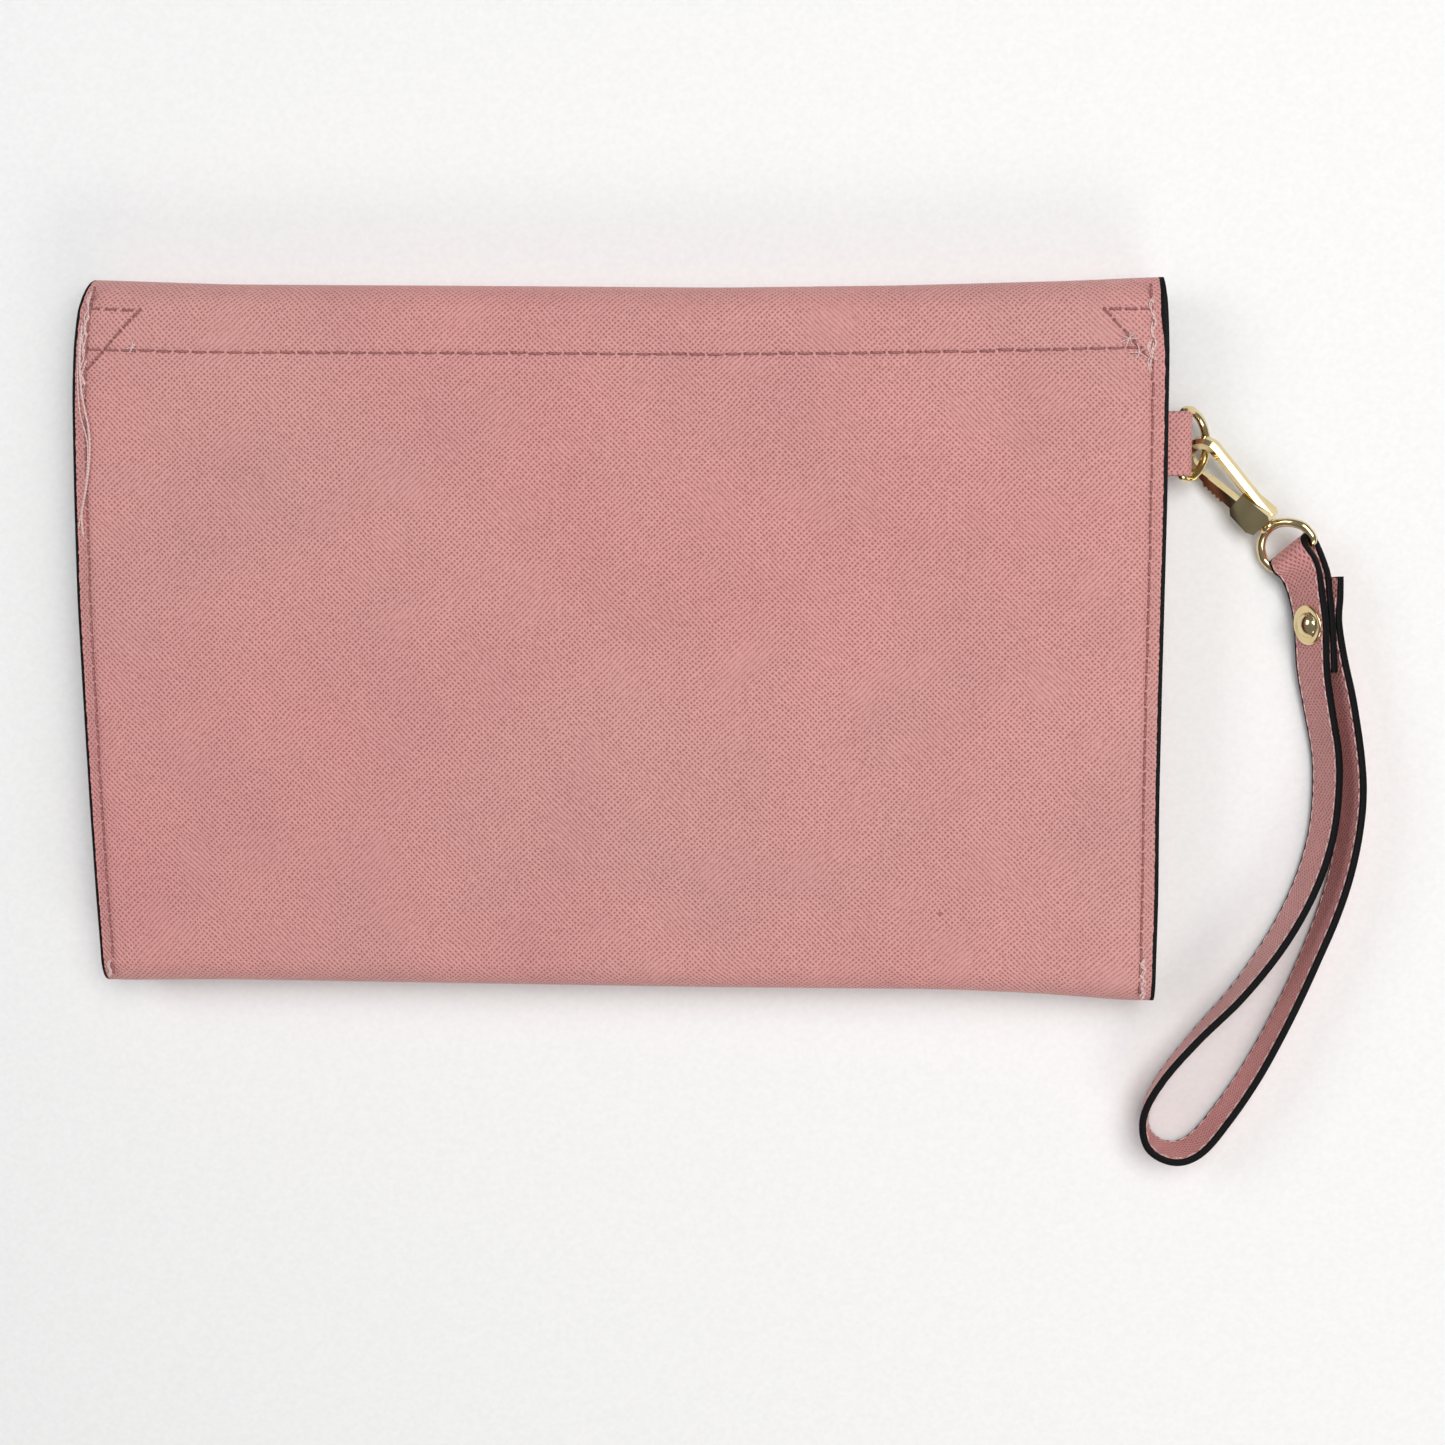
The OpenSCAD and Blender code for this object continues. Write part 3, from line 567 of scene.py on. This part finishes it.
def flap_sheet(name, depth, t, inset, mats):
    rows = flap_rows(depth)
    share = np.linspace(-1, 1, 121)
    share = -np.sign(share) * (1 - (1 - np.abs(share)) ** 1.25)
    length = FOLD_Y - np.concatenate([[0], np.cumsum(np.linalg.norm(np.diff(rows, axis=0), axis=1))]) + 12.6
    width = np.array([flap_half(y) - inset if z < depth + 0.01 else HALF - inset for y, z in rows])
    width = np.maximum(width, 0.3)
    X = width[:, None] * share[None]
    Y = np.repeat(rows[:, :1], 121, 1)
    Z = np.repeat(rows[:, 1:], 121, 1)
    P = settle(X, Y, Z)
    flat = Z < 3
    P[..., 2] = np.where(flat, Z, P[..., 2])
    slope = np.where(Y < SHOULDER, 0.47, 1.0)
    edge = np.where(mats[0] is leather, width[:, None] * (1 - np.abs(share[None])) * slope - 0.7, 50)
    uv = np.stack([X, np.repeat(length[:, None], 121, 1)], -1)
    return thick_sheet(name, P, t, uv, edge, mats, open_sides=("u0",))


flap_leather = flap_sheet("flap_leather_sheet", 0.0, 1.2, 0.0, [leather, leather])
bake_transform(flap_leather)
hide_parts("flap_leather", "flap_spine")
flap_cloth = flap_sheet("flap_lining_sheet", 1.22, 0.38, 1.5, [cloth, cloth])
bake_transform(flap_cloth)
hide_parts("flap_lining", "spine_lining")

rows = []
for y in np.arange(70, SHOULDER, -3.6):
    for s in (-1, 1):
        rows.append(((s * 117.4, y), (s * 117.4, y - 2.6)))
run_y = np.arange(SHOULDER - 1, -16, -1.6)
for y in run_y:
    for s in (-1, 1):
        rows.append(((s * (flap_half(y) - 5.6), y), (s * (flap_half(y - 1.15) - 5.6), y - 1.15)))
groups = []
for a, b in rows:
    p = settle(np.array([a[0], b[0]]), np.array([a[1], b[1]]), np.array([0.0, 0.0]))
    p[:, 2] = 0.0
    groups.append((*stitch(p[0], p[1], (0, 0, -1), 0.22, 0.12), thread))
flap_thread = gather("flap_stitches", groups)
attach(flap_thread, "flap")


# ---- stitching on the back ----

def row(x0, y0, x1, y1, pitch, length):
    total = math.hypot(x1 - x0, y1 - y0)
    count = max(1, int(total / pitch))
    ux, uy = (x1 - x0) / total, (y1 - y0) / total
    for k in range(count):
        s = k * total / count
        off = rng.normal(0, 0.06, 2)
        yield (x0 + ux * s + off[0] * abs(uy), y0 + uy * s + off[1] * abs(ux)), (
            x0 + ux * (s + length) + off[0] * abs(uy), y0 + uy * (s + length) + off[1] * abs(ux))


lines = []
lines += row(-116.5, 63.9, 115.5, 64.2, 3.9, 2.7)
lines += row(-116.8, 72.9, -105.4, 72.9, 3.0, 2.0)
lines += row(-105.4, 72.9, -117.0, 58.6, 3.0, 2.0)
lines += row(116.6, 72.3, 106.6, 72.7, 3.0, 2.0)
lines += row(106.6, 72.7, 116.8, 60.6, 3.0, 2.0)
lines += row(-116.9, 77.4, -116.9, -78.4, 3.5, 2.4)
lines += row(116.9, 77.4, 116.9, -78.4, 3.5, 2.4)
groups = []
for a, b in lines:
    n = back_normal(*a)
    p, q = back_point(*a), back_point(*b)
    groups.append((*stitch(p, q, n, 0.27, 0.17), thread))
    # dark discs at both ends of each stitch: painted shade of the needle holes
    groups.append((*hole(p, n, 0.42), hole_painted_shade))
    groups.append((*hole(q, n, 0.36), hole_painted_shade))


def zigzag(x, y0, y1, swing, pitch, r, mat, lift=0.25):
    """Heavy back-tacking: the same row sewn over several times."""
    for side in (0, 1, 2):
        points, y, flip = [], y0, 1
        while y > y1:
            px = x + flip * swing * (0.5 + 0.5 * rng.random()) + side * 0.25 - 0.25
            points.append(back_point(px, y) + np.array([0, 0, lift * (0.4 + 0.6 * (len(points) % 2))]))
            y -= pitch * (0.7 + 0.6 * rng.random())
            flip = -flip
        groups.append((*tube(points, r, 6, 4), mat))


zigzag(-117.6, 77, 52, 0.55, 2.6, 0.2, thread_light)
zigzag(117.0, 75, 60.5, 0.5, 2.3, 0.19, thread_light)
zigzag(116.2, 66, 57.5, 0.45, 1.9, 0.17, thread_light)
zigzag(-118.0, -74.5, -79, 0.4, 1.2, 0.17, thread_light)
zigzag(117.6, -69.5, -79.2, 0.5, 1.3, 0.19, thread_light)
for x, y, ways in ((111.5, 66.0, 5), (-106.5, 64.5, 4), (113.6, 62.9, 3)):
    for k in range(ways):
        a = rng.random() * 6.28
        reach = 1.2 + 1.6 * rng.random()
        p = back_point(x - reach * math.cos(a), y - reach * math.sin(a)) + [0, 0, 0.2]
        q = back_point(x + 0.3 * rng.random(), y) + [0, 0, 0.5]
        e = back_point(x + reach * math.cos(a + 0.5), y + reach * math.sin(a + 0.5)) + [0, 0, 0.2]
        groups.append((*tube([p, q, e], 0.13, 6, 5), thread_light))
loose = [(-118.6, 70, 0.3), (-118.4, 62, 0.5), (-117.6, 54, 0.55), (-115.8, 46, 0.5), (-115.9, 39, 0.45),
         (-117.2, 32, 0.4), (-118.4, 27, 0.3), (-118.1, 22, 0.2)]
groups.append((*tube([back_point(x, y) + [0, 0, h] for x, y, h in loose], 0.27, 8, 8), thread_light))
loose = [(-119.0, 68, 0.3), (-118.9, 58, 0.3), (-118.2, 50, 0.4), (-116.3, 43, 0.4), (-116.9, 35, 0.3),
         (-118.6, 27.5, 0.3), (-119.4, 24, 0.2)]
groups.append((*tube([back_point(x, y) + [0, 0, h] for x, y, h in loose], 0.18, 8, 8), thread_light))
back_thread = gather("back_stitches", groups)
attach(back_thread, "body")
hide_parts("seam_thread")


# ---- cloth and card parts inside ----

def fine(a, b, pitch):
    return np.linspace(a, b, max(3, int(round((b - a) / pitch)) + 1))


def soft_slab(name, node_name, body, mats, hollow=None, painted_top=False):
    """A thin soft layer in the place of a CAD layer, with rounded edges and slight waves."""
    lo, hi = [np.array(c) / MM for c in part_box(node_name)]
    xs, ys = fine(lo[0], hi[0], 3.0), fine(min(hi[1], 72.5), lo[1], 3.0)
    if hollow is not None:
        xs = np.unique(np.concatenate([xs, [hollow[0], hollow[1]]]))
        ys = np.unique(np.concatenate([ys, [hollow[2], hollow[3]]]))[::-1]
    t = hi[2] - lo[2]
    X, Y = np.meshgrid(xs, ys)
    wave = 0.03 * np.sin(X / 13) * np.sin(Y / 9)
    P = settle(X, Y, hi[2] - 0.02 + wave * (t > 0.3))
    P[..., 0] = X
    if hollow is not None:
        P[..., 1] = Y
    keep = None
    if hollow is not None:
        cx, cy = (xs[:-1] + xs[1:]) / 2, (ys[:-1] + ys[1:]) / 2
        keep = ~((cx[None] > hollow[0]) & (cx[None] < hollow[1])
                 & (cy[:, None] > hollow[2]) & (cy[:, None] < hollow[3]))
    edge = np.full(X.shape, 50.0)
    if painted_top:
        edge = np.minimum(edge, hi[1] - Y - 0.35)
    made = thick_sheet(name, P, t - 0.04, np.stack([X, Y], -1), edge, mats, keep, steps=3)
    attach(made, body)
    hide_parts(node_name)
    return made


slot_x = 89.5
zip_y = 48.0
zip_hole = (-slot_x, slot_x, zip_y - 4, zip_y + 4)
soft_slab("back_lining_cloth", "back_lining", "body", [cloth, cloth], zip_hole)
soft_slab("front_lining_cloth", "front_lining", "body", [cloth, cloth])
soft_slab("card_panel_cloth", "card_panel", "body", [cloth, cloth])
soft_slab("card_slot_low", "card_strip_low", "body", [leather, cloth], painted_top=True)
soft_slab("card_slot_mid", "card_strip_mid", "body", [leather, cloth], painted_top=True)
soft_slab("card_slot_top", "card_strip_top", "body", [leather, cloth], painted_top=True)

lo, hi = [np.array(c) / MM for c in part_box("zip_bag")]
sheets = []
for z, t, hollow in ((hi[2], 0.3, None), (lo[2] + 0.3, 0.28, zip_hole)):
    xs, ys = fine(lo[0], hi[0], 3.0), fine(hi[1], lo[1], 3.0)
    if hollow:
        xs = np.unique(np.concatenate([xs, hollow[:2]]))
        ys = np.unique(np.concatenate([ys, hollow[2:]]))[::-1]
    bx, by = np.meshgrid(xs, ys)
    keep = None
    if hollow:
        cx, cy = (xs[:-1] + xs[1:]) / 2, (ys[:-1] + ys[1:]) / 2
        keep = ~((np.abs(cx)[None] < slot_x) & (np.abs(cy[:, None] - zip_y) < 4))
    inset = np.minimum.reduce([bx - lo[0], hi[0] - bx, by - lo[1], hi[1] - by])
    bulge = (0.3 if hollow is None else -0.3) * np.exp(-(inset / 2.0) ** 2)
    P = np.stack([bx, by, z - bulge - 0.01], -1)
    sheets.append(thick_sheet("bag_side", P, t, np.stack([bx, by], -1), np.full(bx.shape, 50.0),
                              [cloth, cloth], keep, steps=3))
zip_bag = sheets[0]
bpy.ops.object.select_all(action="DESELECT")
for o in sheets:
    o.select_set(True)
bpy.context.view_layer.objects.active = zip_bag
bpy.ops.object.join()
zip_bag.name = "zip_bag_cloth"
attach(zip_bag, "body")
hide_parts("zip_bag")

lo, hi = [np.array(c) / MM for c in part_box("zip_tapes")]
tapes = []
for s in (-1, 1):
    xs, ys = fine(lo[0], hi[0], 2.5), zip_y + s * np.array([1.25, 2, 3.5, 5.2, 7, 8.6, 9.9])
    ys = np.sort(ys)[::-1]
    bx, by = np.meshgrid(xs, ys)
    P = np.stack([bx, by, np.full(bx.shape, hi[2] - 0.01)], -1)
    tapes.append(thick_sheet("tape_side", P, 0.28, np.stack([bx, by], -1), np.full(bx.shape, 50.0),
                             [tape_cloth, tape_cloth], steps=3))
bpy.ops.object.select_all(action="DESELECT")
for o in tapes:
    o.select_set(True)
zip_tape = tapes[0]
bpy.context.view_layer.objects.active = zip_tape
bpy.ops.object.join()
zip_tape.name = "zip_tape_cloth"
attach(zip_tape, "body")
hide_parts("zip_tapes")

for side, node_name in ((-1, "gusset_left"), (1, "gusset_right")):
    lo, hi = [np.array(c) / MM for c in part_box(node_name)]
    wall = max(abs(lo[0]), abs(hi[0]))
    apex = min(abs(lo[0]), abs(hi[0]))
    mid = (lo[2] + hi[2]) / 2
    rows = [(wall - 0.2, lo[2] + 0.95)]
    rows += [(wall + (apex + 1.9 - wall) * s, lo[2] + 0.95 + (mid - 0.55 - lo[2] - 0.95) * s)
             for s in (0.3, 0.6, 0.9)]
    rows += [(apex + 0.9 + 0.55 * (1 - math.cos(a)),
              mid + 0.5 * math.sin(a)) for a in np.radians([-70, -35, 0, 35, 70])]
    rows += [(wall + (apex + 1.9 - wall) * s, hi[2] - 0.1 + (mid + 0.55 - hi[2] + 0.1) * s)
             for s in (0.9, 0.6, 0.3)]
    rows += [(wall - 0.2, hi[2] - 0.1)]
    rows = np.array(rows)
    ys = fine(lo[1], hi[1], 3.0)
    gx = np.repeat(side * rows[:, :1], len(ys), 1)
    gz = np.repeat(rows[:, 1:], len(ys), 1)
    gy = np.repeat(ys[None], len(rows), 0)
    P = np.stack([gx, gy, gz], -1)
    if side < 0:
        P = P[:, ::-1]
        gy = gy[:, ::-1]
    length = np.concatenate([[0], np.cumsum(np.linalg.norm(np.diff(rows, axis=0), axis=1))])
    guv = np.stack([np.repeat(length[:, None], len(ys), 1), gy], -1)
    gusset = thick_sheet(node_name + "_leather", P, 0.75, guv, np.minimum(50, hi[1] - gy - 0.4),
                         [leather, leather], steps=3)
    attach(gusset, "body")
    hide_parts(node_name)


# ---- the tab ----

BAR = np.array([124.6, 43.4, 9.5])


def tab_piece():
    r = 2.28
    rows = [(117.5, BAR[2] + r + 0.1)] + [(x, BAR[2] + r) for x in (118.6, 119.8, 121, 122.2, 123.4)]
    rows += [(BAR[0] + r * math.sin(a), BAR[2] + r * math.cos(a)) for a in np.radians(np.arange(0, 181,
            12))]
    rows += [(x, BAR[2] - r) for x in (123.4, 122.2, 121, 119.8, 118.6)] + [(117.5, BAR[2] - r - 0.1)]
    rows = np.array(rows)[::-1]
    ys = np.concatenate([[-6.5, -6.2, -5.9, -5.4], np.linspace(-4.8, 4.8, 9), [5.4, 5.9, 6.2, 6.5]])
    P = np.stack([np.repeat(rows[:, :1], len(ys), 1), BAR[1] + np.repeat(ys[None], len(rows), 0),
                  np.repeat(rows[:, 1:], len(ys), 1)], -1)[:, ::-1]
    length = np.concatenate([[0], np.cumsum(np.linalg.norm(np.diff(rows, axis=0), axis=1))])
    t_uv = np.stack([np.repeat(length[:, None], len(ys), 1), P[..., 1]], -1)
    return thick_sheet("tab_leather", P, 1.2, t_uv, np.full(P.shape[:2], 50.0), [leather, leather])


tab = tab_piece()
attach(tab, "body")
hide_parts("ring_tab")


# ---- the strap: the same route as the CAD band, in finer steps ----

STRAP_W, STRAP_T, EYE_R, LIFT = 10.5, 1.6, 1.0, 0.08


def unit(v):
    return np.asarray(v, float) / np.linalg.norm(v)


def clasp_axes():
    h, p, r = (math.radians(a) for a in (-47.2, 2.9, 37.8))
    u = np.array([math.cos(h) * math.cos(p), math.sin(h) * math.cos(p), math.sin(p)])
    flat = np.array([-math.sin(h), math.cos(h), 0])
    v = math.cos(r) * flat + math.sin(r) * np.cross(u, flat)
    return u, v, np.cross(u, v)


CU, CV, CW = clasp_axes()
EYE = BAR + [5.75, -2.75, -5.2] + (20 + 8.4 + EYE_R + 0.25) * CU
SHIFT = EYE[:2] - [150.4, 18.9]
tail_low = [[156.5, -6.5, 0.4, 0.45, 0], [156, -1, 0.8, 0.47, 0]]
tail_high = [[154.8, 9.5, 0.7, 0.51, 0.09], [154, 14.2, 0.3, 0.56, 0.3]]
loop_start = [[151.4, 15.2, 2.4, 0.58, 0.34], [152.9, 10, 1.9, 0.52, 0.10]]
rivet_spot = [153.9, 3.8, 2, 0.48, 0]
wrist_loop = [
    [154.8, -6.5, 1, 0.44, 0], [156.4, -15, 0.4, 0.41, -0.02], [158.3, -25, 0.05, 0.37, 0],
              [158.6, -34, 0, 0.34, -0.03],
    [157.8, -43, 0, 0.30, -0.06], [155.5, -52, 0, 0.25, -0.09], [151.8, -61, 0, 0.19, -0.10],
              [146.7, -70, 0, 0.12, -0.09],
    [139.5, -80, 0, 0.04, -0.03], [131, -89.5, 0, -0.04, 0.04], [123.6, -99, 0, -0.11, 0.06],
              [119.8, -107, 0, -0.17, 0],
    [120.7, -113.6, 0, -0.12, -0.12], [126, -116.4, 0, 0, -0.17], [131.6, -114.2, 0, 0.10, -0.14],
              [137.7, -106.5, 0, 0.13, -0.09],
    [143.4, -97.5, 0, 0.13, -0.07], [148.1, -88.5, 0, 0.12, -0.06], [152.3, -79.5, 0, 0.11, -0.05],
              [156, -70.5, 0, 0.12, -0.05],
    [159.4, -61.5, 0, 0.16, -0.05], [162, -52.5, 0, 0.20, -0.05], [163.6, -43.5, 0, 0.24, -0.03],
              [164.2, -34.5, 0, 0.28, 0],
    [163.4, -25.5, 0, 0.33, 0], [161, -13, 0, 0.41, 0], [158.7, -4, 0, 0.46, 0]]
loop_end = [[157.1, 9.4, 0, 0.53, 0.12], [156.9, 14.2, 0, 0.56, 0.22]]


def stand(r):
    w = np.array([r[3], r[4], math.sqrt(1 - r[3] ** 2 - r[4] ** 2)])
    z = STRAP_W / 2 * w[2] + STRAP_T / 2 * math.hypot(w[0], w[1]) + r[2] + LIFT
    return np.array([r[0] + SHIFT[0], r[1] + SHIFT[1], z]), w


def wrap(degrees):
    a = math.radians(degrees)
    return EYE + 0.35 * CU - (EYE_R + STRAP_T / 2 + 0.6) * (math.sin(a) * CU + math.cos(a) * CW), CV


RIVET, RIVET_W = stand(rivet_spot)
RIVET_AXIS = unit(np.cross(RIVET_W, [0.12, -1, 0]))


def layer(k):
    return RIVET + k * (STRAP_T + 0.25) * RIVET_AXIS, RIVET_W


keys = [stand(r) for r in tail_low] + [layer(1)] + [stand(r) for r in tail_high] + [wrap(a) for a in (15,
        65, 115, 165)]
keys += [stand(r) for r in loop_start] + [layer(0)] + [stand(r) for r in wrist_loop] + [layer(2)] + [stand(r) for r in loop_end]


def ride_line(which, steps=8):
    c = np.array([k[which] for k in keys])
    c = np.concatenate([c[:1], c, c[-1:]])
    s = (np.arange(steps) / steps)[None, :, None]
    a, b, d, e = (c[k:len(c) - 3 + k][:, None] for k in range(4))
    line = 0.5 * (2 * b + (d - a) * s + (2 * a - 5 * b + 4 * d - e) * s ** 2 + (3 * b - a - 3 * d + e) * s ** 3)
    return np.concatenate([line.reshape(-1, 3), c[-1:]])


mid = ride_line(0)
lean = ride_line(1)
lean /= np.linalg.norm(lean, axis=1, keepdims=True)
way = np.gradient(mid, axis=0)
way /= np.linalg.norm(way, axis=1, keepdims=True)
face = np.cross(way, lean)
face /= np.linalg.norm(face, axis=1, keepdims=True)
rise = np.cross(face, way)
strap_run = np.concatenate([[0], np.cumsum(np.linalg.norm(np.diff(mid, axis=0), axis=1))])


def strap_section():
    """Half-width across, half-thickness out, and the distance from the painted edge, round the band."""
    points = []
    painted_from = 4.6
    hs = [-4.9, -4.3, -3.9, -2.5, 0, 2.5, 3.9, 4.3, 4.9]
    for h in hs:
        groove = -0.12 * math.exp(-((abs(h) - 4.3) / 0.3) ** 2)
        points.append((h, STRAP_T / 2 + groove, painted_from - abs(h)))
    for a in (60, 30, 0, -30, -60):
        points.append((5.0 + 0.25 * math.cos(math.radians(a)), 0.8 * math.sin(math.radians(a)), -1))
    for h in hs[::-1]:
        groove = -0.12 * math.exp(-((abs(h) - 4.3) / 0.3) ** 2)
        points.append((h, -STRAP_T / 2 - groove, painted_from - abs(h)))
    for a in (-60, -30, 0, 30, 60):
        points.append((-5.0 - 0.25 * math.cos(math.radians(a)), 0.8 * math.sin(math.radians(a)), -1))
    return np.array(points)


section = strap_section()
n_ring, n_line = len(section), len(mid)
strap_verts = (mid[:, None] + section[None, :, :1] * rise[:, None] + section[None, :, 1:2] * face[:,
        None]).reshape(-1, 3)
around = np.concatenate([[0], np.cumsum(np.linalg.norm(np.diff(section[:, :2], axis=0), axis=1))])
strap_uv = np.stack(np.broadcast_arrays(strap_run[:, None], around[None]), -1).reshape(-1, 2)
strap_edge = np.broadcast_to(section[None, :, 2], (n_line, n_ring)).reshape(-1).copy()
strap_edge.reshape(n_line, n_ring)[[0, -1]] = -1
strap_faces = [[i * n_ring + (k + 1) % n_ring, i * n_ring + k, (i + 1) * n_ring + k,
                (i + 1) * n_ring + (k + 1) % n_ring]
               for i in range(n_line - 1) for k in range(n_ring)]
strap_faces += [list(range(n_ring)), [(n_line - 1) * n_ring + k for k in range(n_ring)][::-1]]
strap = make_object("strap_leather", strap_verts, strap_faces, [leather], None, strap_uv, strap_edge)
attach(strap, "strap")
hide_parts("strap_band")

groups = []
at = 2.0
while at < strap_run[-1] - 4:
    p, q = ([np.interp(s, strap_run, line[:, k]) for k in range(3)] for s,
            line in ((at, mid), (at + 2.3, mid)))
    p, q = np.array(p), np.array(q)
    n = unit([np.interp(at + 1, strap_run, face[:, k]) for k in range(3)])
    h = unit([np.interp(at + 1, strap_run, rise[:, k]) for k in range(3)])
    for side in (-1, 1):
        for across in (-1, 1):
            base = h * across * 4.3 + n * side * 0.66
            groups.append((*stitch(p + base, q + base, n * side, 0.17, 0.14), thread_light))
    at += 3.1
strap_thread = gather("strap_stitches", groups)
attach(strap_thread, "strap")


def turned(profile, at, axis, segments=40):
    axis = unit(axis)
    side = unit(np.cross(axis, [0.2, 0.1, 1]))
    other = np.cross(axis, side)
    a = np.arange(segments) * 2 * math.pi / segments
    circle = np.cos(a)[:, None] * side + np.sin(a)[:, None] * other
    verts = np.concatenate([at + axis * z + r * circle for r, z in profile])
    return verts, [[i * segments + k, i * segments + (k + 1) % segments,
                    (i + 1) * segments + (k + 1) % segments, (i + 1) * segments + k]
                   for i in range(len(profile) - 1) for k in range(segments)]


cap_profile = [(0.01, 2.05), (0.6, 2.02), (1.3, 1.85), (1.95, 1.5), (2.45, 1.05), (2.75, 0.65),
               (2.85, 0.48), (3.0, 0.4), (3.4, 0.4),
               (3.95, 0.52), (4.3, 0.5), (4.46, 0.38), (4.5, 0.22), (4.46, 0.05), (4.3, 0), (0.01, 0)]
rivet = gather("rivet_dome", [(*turned(cap_profile, RIVET - RIVET_AXIS * STRAP_T / 2, -RIVET_AXIS, 64),
                               gold)])
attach(rivet, "strap")
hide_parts("rivet_cap")


# ---- the ring and the swivel eye, whose wire bends round its corners ----

def wire_loop(points, r, plane, sides=14, per=7):
    """A closed loop of round wire through the points, which lie in the plane with that normal."""
    c = np.array(points, float)
    s = (np.arange(per) / per)[None, :, None]
    a, b, d, e = (np.roll(c, k, axis=0)[:, None] for k in (1, 0, -1, -2))
    line = (0.5 * (2 * b + (d - a) * s + (2 * a - 5 * b + 4 * d - e) * s ** 2
                   + (3 * b - a - 3 * d + e) * s ** 3)).reshape(-1, 3)
    way = np.roll(line, -1, axis=0) - np.roll(line, 1, axis=0)
    way /= np.linalg.norm(way, axis=1, keepdims=True)
    side = np.cross(way, plane)
    t = np.arange(sides) * 2 * math.pi / sides
    verts = (line[:, None] + r * (np.cos(t)[None, :, None] * side[:, None]
                                  + np.sin(t)[None, :, None] * np.array(plane)[None, None])).reshape(-1, 3)
    n = len(line)
    return verts, [[i * sides + k, i * sides + (k + 1) % sides,
                    (i + 1) % n * sides + (k + 1) % sides, (i + 1) % n * sides + k]
                   for i in range(n) for k in range(sides)]


def d_points(bar, depth):
    """The middle of a D of wire: bar at 0, crown out to depth."""
    crown = (depth ** 2 + bar ** 2) / (2 * depth)
    middle = depth - crown
    half = [(0, 0), (0, 0.4 * bar), (0.02, 0.68 * bar), (0.35, 0.87 * bar), (1.35, 0.965 * bar)]
    half += [(middle + crown * math.cos(a), crown * math.sin(a)) for a in np.radians((72, 54, 36, 18))]
    return half + [(depth, 0)] + [(x, -y) for x, y in half[:0:-1]]


tilt = math.radians(44.6)
ring_x, ring_n = np.array([math.cos(tilt), 0, -math.sin(tilt)]), np.array([math.sin(tilt), 0,
        math.cos(tilt)])
ring_path = [BAR + x * ring_x + [0, y, 0] for x, y in d_points(7.6, 8.8)]
ring = gather("ring_wire", [(*wire_loop(ring_path, 0.95, ring_n), gold)])
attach(ring, "ring")
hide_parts("d_ring")


HOOK = BAR + [5.75, -2.75, -5.2]
post = [(0.01, 17.25), (1.8, 17.27), (1.9, 17.4), (1.9, 18.45), (1.8, 18.55), (1.25, 18.56), (1.25, 20.15),
        (1.8, 20.15), (2.0, 20.3),
        (2.0, 20.95), (1.85, 21.25), (1.3, 21.45), (1.2, 21.8), (0.01, 21.9)]
eye_wire = wire_loop([EYE - x * CU + y * CV for x, y in d_points(6.55, 8.4)], EYE_R, CW)
eye = gather("eye_wire", [(*eye_wire, gold), (*turned(post, HOOK, CU), gold)])
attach(eye, "eye")
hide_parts("swivel_eye")


# ---- finishes of the hard parts, which stay as the CAD has them ----

FINISH = {
    gold: ["clasp_body", "trigger", "trigger_pin", "snap_stud", "rivet_post", "rivet_back", "zip_slider",
           "zip_pull",
           "zip_teeth", "zip_stops", "snap_plate", "snap_cup"],
    steel: ["trigger_spring", "snap_washer_front", "snap_washer_flap"],
    board: ["back_board", "front_board"],
}
for finish, names in FINISH.items():
    for name in names:
        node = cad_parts[name]
        node.data.materials.clear()
        node.data.materials.append(finish)
BEVELS = {"clasp_body": 0.18, "trigger": 0.12, "zip_pull": 0.15, "zip_slider": 0.1,
          "rivet_back": 0.12, "snap_cup": 0.2, "snap_plate": 0.15}
for name, width in BEVELS.items():
    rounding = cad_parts[name].modifiers.new("rounded_edges", "BEVEL")
    rounding.width = width * MM
    rounding.segments = 3
    rounding.limit_method = "ANGLE"
    rounding.angle_limit = math.radians(25)
    rounding.harden_normals = False

FLOOR_HALF, FLOOR_Z = 1500, -0.6
corners = [(x * FLOOR_HALF, y * FLOOR_HALF, FLOOR_Z) for x, y in ((-1, -1), (1, -1), (1, 1), (-1, 1))]
floor = make_object("floor", corners, [[0, 1, 2, 3]], [floor_material()], smooth=False)
